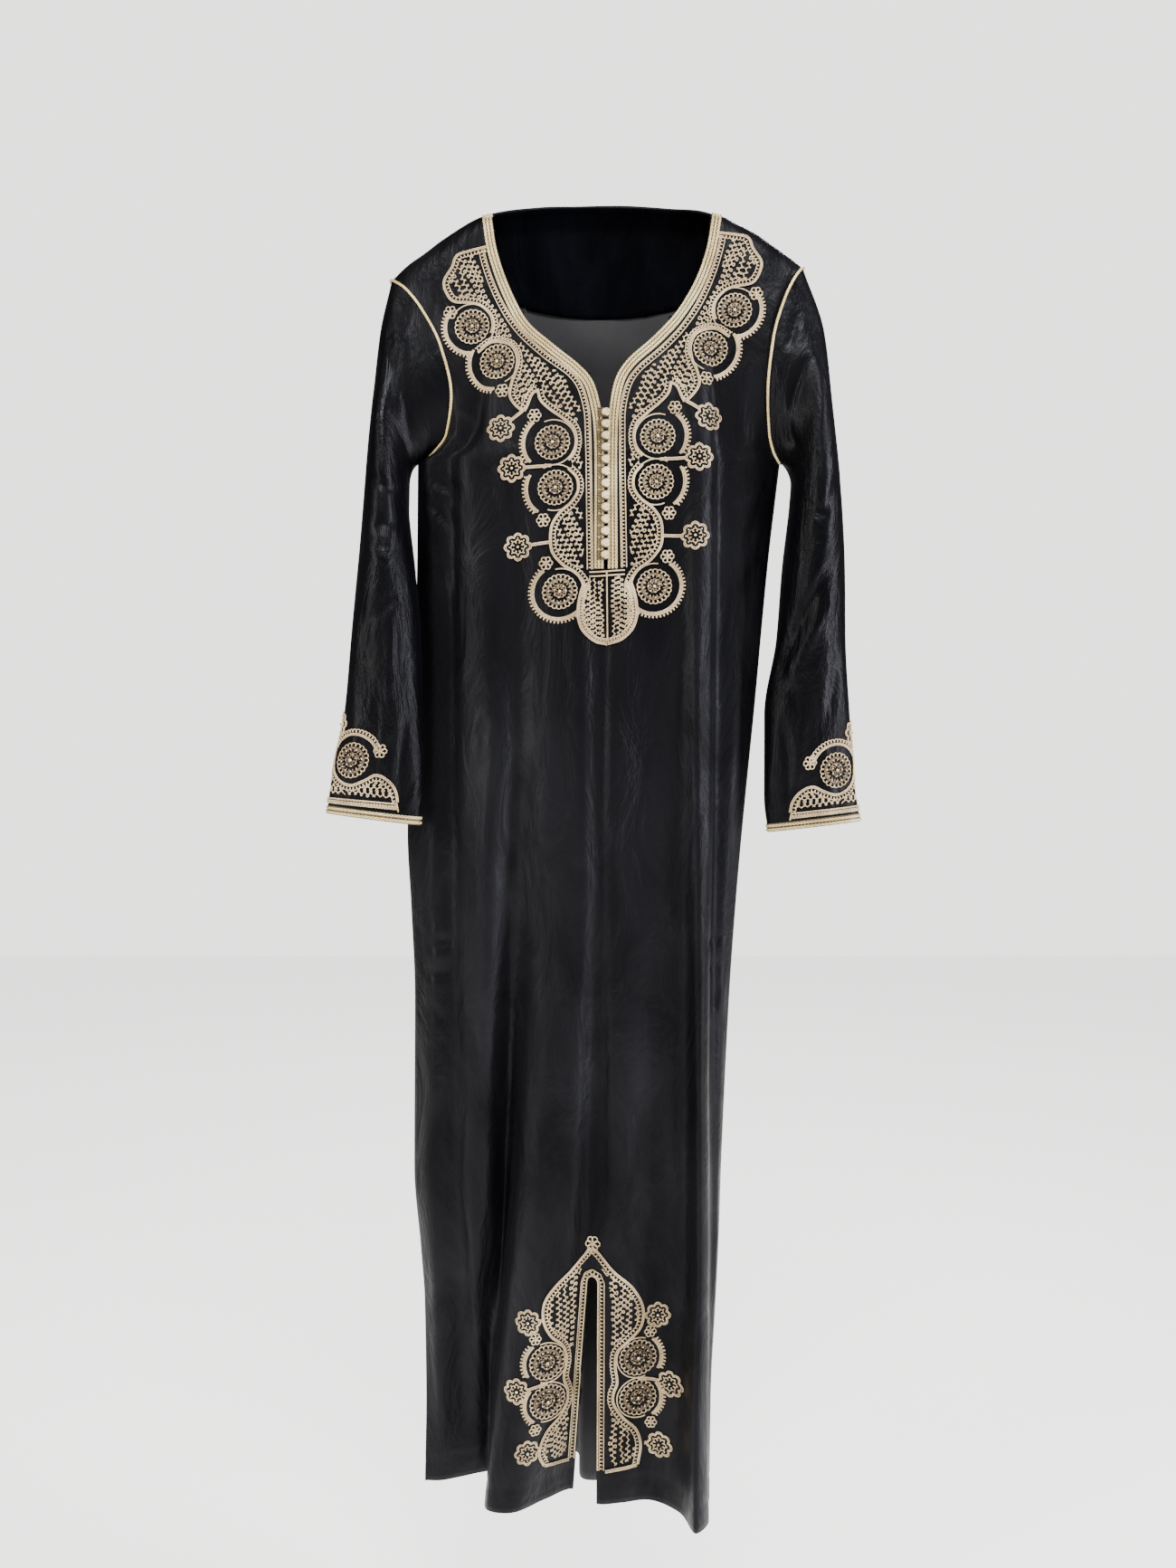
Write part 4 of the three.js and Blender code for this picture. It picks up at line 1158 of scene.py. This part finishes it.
def make_hem(side, place):
    work = Needlework(place, hem_hang(side))
    scroll(work, HEM_SCROLL[side])
    for centre, start, end in HEM_MEDALLIONS:
        medallion(work, centre, 20)
        arm(work, centre, 24, start, end)
        work.cord(arc(centre, 22.4, 70, 290))
    for spot in HEM_PETALS:
        petals(work, spot, 6.6)
    for centre, root in HEM_ROSETTES:
        lobed_rosette(work, centre, root, 14)
    outer = centripetal(HEM_SCROLL[side], 6)
    inner = slit_edge(side, 9)[::-1]
    inner[:, 0] = np.abs(inner[:, 0] - HEM_SPREAD["middle"])
    seed = 51 if side == "left" else 52
    meander_fill(work, np.vstack([outer, inner]), 90, seed, lane=8, inset=3.6)
    for drop in (0, 2):
        work.cord(np.array([outer[-1], inner[0]]) - (0, drop), 0.9)
    work.turn = as_drawn
    work.cord(slit_edge(side, 1.4), 0.9)
    work.cord(slit_edge(side, 7.8), 0.6)
    work.cord(looped(slit_edge(side, 4.6), 4, 1.8, 0.7), 0.58)
    if side == "left":
        petals(work, (-10, -1129), 8.4)
    work.finish(f"hem_embroidery_{side}")


def make_cuff_work(side, place):
    """The cuff's motif, mirrored about the sleeve's outer edge: way round, height above."""
    work = Needlework(place)
    for mirror in (1, -1):
        work.turn = lambda flat, way=mirror: flat * (way, 1)
        medallion(work, CUFF_MEDALLION)
        arm(work, CUFF_MEDALLION, 27, 20, 150)
        petals(work, CUFF_FLOWER)
        field = np.vstack([[(0, 18), (0, 70)], scroll(work, CUFF_SCROLL)])
        meander_fill(work, field, 0, 71 + mirror, lane=7.6, inset=3.4)
        work.cord([(0, 17), (82, 17)], 0.9)
        work.cord(looped([(0, 13.6), (82, 13.6)], 3.2, 1.7), 0.75)
        work.cord([(82, 17), (84, 10)], 0.9)
    work.turn = as_drawn
    lobed_rosette(work, (4, 97), (3, 80), 14)
    work.finish(f"cuff_embroidery_{side}")


# ---- braids, cords and knots ----
def ribbon(points, normals, across, width, thick=0.55, pitch=3.4, rows=2):
    """A flat plaited braid: rows of slanting stitches that alternate, with a bound edge."""
    u = np.linspace(0, 1, rows * 6 + 1)
    lane = u * rows
    slant = np.abs(lane % 2 - 1)
    wave = np.abs(np.sin(math.pi * (gone(points)[:, None] / pitch + slant)))
    height = thick * (0.35 + 0.65 * wave * np.abs(np.sin(math.pi * lane)) ** 0.4)
    top = points[:, None] + across[:, None] * (u * width)[:, None] + normals[:, None] * height[..., None]
    low = np.stack([points, points + across * width], axis=1)
    return swept(np.concatenate([low[:, :1], top, low[:, 1:]], axis=1))


def make_braid(name, place, line_at, low, high, count, first, apart):
    """Gold braid: rows of chain plait, two cords that cross again and again, on a flat woven
    ground that runs from one distance to another beside its line."""
    work = Needlework(place)
    points, normals = place(line_at(low))
    far, _ = place(line_at(high))
    across = unit(far - points)
    # The ground, kind 1, takes the dark gold that is painted shade between the chains.
    work.add(*ribbon(points + normals * GAP, normals, across, high - low), 1)
    for k in range(count):
        line = spaced(line_at(first + apart * k), CHAIN["fine"])
        turn = np.arange(len(line)) * CHAIN["fine"] * TAU / (2 * CHAIN["pitch"])
        wave = CHAIN["swing"] * np.sin(turn)
        for way in (1, -1):
            path = line + sideways(line) * (way * wave)[:, None]
            work.cord(path, CHAIN["cord"], step=1, layer=CHAIN["lift"])
    face_out(work.finish(name, [BRAID_THREAD, BRAID_GROUND_SHADED]))


def make_neck_braid(side, place):
    edge = spaced(centripetal(NECK_EDGE[side], 12), BRAID_STEP)[2:]
    line_at = lambda distance: beside(edge, SIGN[side] * distance)
    make_braid(f"neck_braid_{side}", place, line_at, 0, BRAID_WIDTH, 3, 1.8, 3.7)


def make_cuff_braid(side, place, cuff):
    half = gone(np.vstack([cuff, cuff[:1]]))[-1] / 2 - 0.2
    line_at = lambda height: spaced([(-half, height), (half, height)], BRAID_STEP)
    make_braid(f"cuff_braid_{side}", place, line_at, -0.4, 8.6, 2, 2.1, 4.2)


def make_armhole_cord(side, seam, seam_out, sleeve_out):
    """The twisted cord caught over the armhole seam, all the way round."""
    out = unit(seam_out + sleeve_out)
    points = seam + out * (PIPING["radius"] * 0.7)
    path = spaced(centripetal(np.vstack([points, points[:1]]), 4), 1)[:-1]
    share = np.linspace(0, len(points), len(path) + 1)[:-1]
    ups = read_between(share, np.arange(len(points) + 1), np.vstack([out, out[:1]]))
    name = f"armhole_cord_{side}"
    form = tube(path, unit(ups), PIPING["radius"], 8, True, PIPING["ply"])
    piece = mesh_piece(name, *form, [CORD_THREAD])
    face_out(piece)
    settle(piece, name)


def make_knots(place):
    """Knotted cord buttons, each with the loops that hold it across the slit."""
    turn = np.linspace(0, TAU, 49)[:-1]
    reach = 2 + np.cos(3 * turn)
    knot = np.stack([reach * np.cos(2 * turn), reach * np.sin(2 * turn), 1.1 * np.sin(3 * turn)], axis=1)
    knot *= KNOTS["radius"] / 4.4
    core, core_faces = ball(KNOTS["radius"] * 0.62)
    for i in range(KNOTS["count"]):
        spots, normals = place([(KNOTS["x"], KNOTS["top"] - i * KNOTS["pitch"])])
        spot, out = spots[0], normals[0]
        axes = facing_frame(out)
        middle = spot + out * KNOTS["lift"]
        body = middle + knot @ axes
        work = Needlework(place)
        work.add(*tube(body, unit(body - middle), KNOTS["cord"], 6, True), 0)
        work.add(middle + core @ axes, core_faces, 0)
        # The loops take the dark cord, painted shade beside the buttons.
        for row in KNOT_LOOPS["rows"]:
            line = np.stack([np.linspace(KNOT_LOOPS["from"], KNOT_LOOPS["to"], 13), np.full(13, row)], 1)
            path = spot - line @ axes[:2] + out * KNOT_LOOPS["lift"]
            work.add(*tube(path, np.tile(out, (13, 1)), KNOT_LOOPS["cord"]), 1)
        face_out(work.finish(f"knot_{i + 1:02d}", [KNOT_THREAD, LOOP_THREAD_SHADED]))


# ---- studio ----
CAMERA = {"place": (-0.015, -1.4, -0.6345), "lens": 29.08, "sensor": 36}
FLOOR = {"side": 6000, "z": -1640, "colour": "#cfcecc", "glow": 2.2}
BACKDROP = {"colour": "#f8f7f5", "seen": 2.6, "lighting": 0.06}
LAMP_TARGET = (0, 0, -0.65)
LAMPS = {  # place, width and height in metres, watts, colour
    "key": ((-2.1, -1.6, 0.2), (0.6, 2.4), 80, "#fff8f0"),
    "side": ((2.2, -0.8, -0.2), (0.45, 2.4), 118, "#f6f5fc"),
    "front": ((0.1, -1.7, 1.7), (1.2, 0.8), 120, "#ffffff"),
    "back": ((0.4, 2.0, 1.7), (1.0, 0.8), 80, "#ffffff"),
}


def make_camera():
    camera = bpy.data.objects.new("camera", bpy.data.cameras.new("camera"))
    camera.data.sensor_fit = "VERTICAL"
    camera.data.sensor_height = CAMERA["sensor"]
    camera.data.lens = CAMERA["lens"]
    camera.data.clip_end = 50
    camera.location = CAMERA["place"]
    camera.rotation_euler = (math.pi / 2, 0, 0)
    bpy.context.scene.collection.objects.link(camera)
    bpy.context.scene.camera = camera


def make_floor():
    """A plain pale floor well below the hem, with a glow of its own so that it meets the
    backdrop without a dark line."""
    material, tree = new_material("pale_studio_floor")
    finish_surface(tree, {"Base Color": linear(FLOOR["colour"]), "Roughness": 0.9,
                          "Emission Color": linear(BACKDROP["colour"]),
                          "Emission Strength": FLOOR["glow"]})
    side = FLOOR["side"]
    corners = [(x * side, y * side, FLOOR["z"]) for x, y in ((-1, -1), (1, -1), (1, 1), (-1, 1))]
    mesh_piece("floor", corners, [[0, 1, 2, 3]], [material], smooth=False)


def make_lights():
    for name, (place, size, power, colour) in LAMPS.items():
        light = bpy.data.lights.new(name, "AREA")
        light.shape = "RECTANGLE"
        light.size, light.size_y = size
        light.energy = power
        light.color = linear(colour)[:3]
        lamp = bpy.data.objects.new(name, light)
        lamp.location = place
        way = Vector(LAMP_TARGET) - Vector(place)
        lamp.rotation_euler = way.to_track_quat("-Z", "Y").to_euler()
        bpy.context.scene.collection.objects.link(lamp)


def make_backdrop():
    """Looks pale, but lights the velvet only softly, as a studio with black flags does."""
    world = bpy.data.worlds.new("studio")
    world.use_nodes = True
    tree = world.node_tree
    seen = add_node(tree, "ShaderNodeLightPath").outputs["Is Camera Ray"]
    power = add_node(tree, "ShaderNodeMapRange",
                     {"To Min": BACKDROP["lighting"], "To Max": BACKDROP["seen"]}, {"Value": seen})
    backdrop = tree.nodes["Background"]
    backdrop.inputs["Color"].default_value = linear(BACKDROP["colour"])
    tree.links.new(power.outputs[0], backdrop.inputs["Strength"])
    bpy.context.scene.world = world


make_camera()
make_floor()
make_lights()
make_backdrop()
make_front()
make_back()
make_facing()
on_front = front_mapper()
for side_name in SIGN:
    armhole, away_out, armhole_out = armhole_loop(side_name)
    sleeve, sleeve_out = make_sleeve(side_name, armhole, away_out)
    on_cuff = cuff_mapper(sleeve, sleeve_out)
    make_cuff_braid(side_name, on_cuff, sleeve[-1])
    make_cuff_work(side_name, on_cuff)
    make_armhole_cord(side_name, armhole, armhole_out, sleeve_out[3])
    make_neck_braid(side_name, on_front)
    make_chest(side_name, on_front)
    make_hem(side_name, on_front)
make_tongue(on_front)
make_knots(on_front)

bpy.context.view_layer.update()
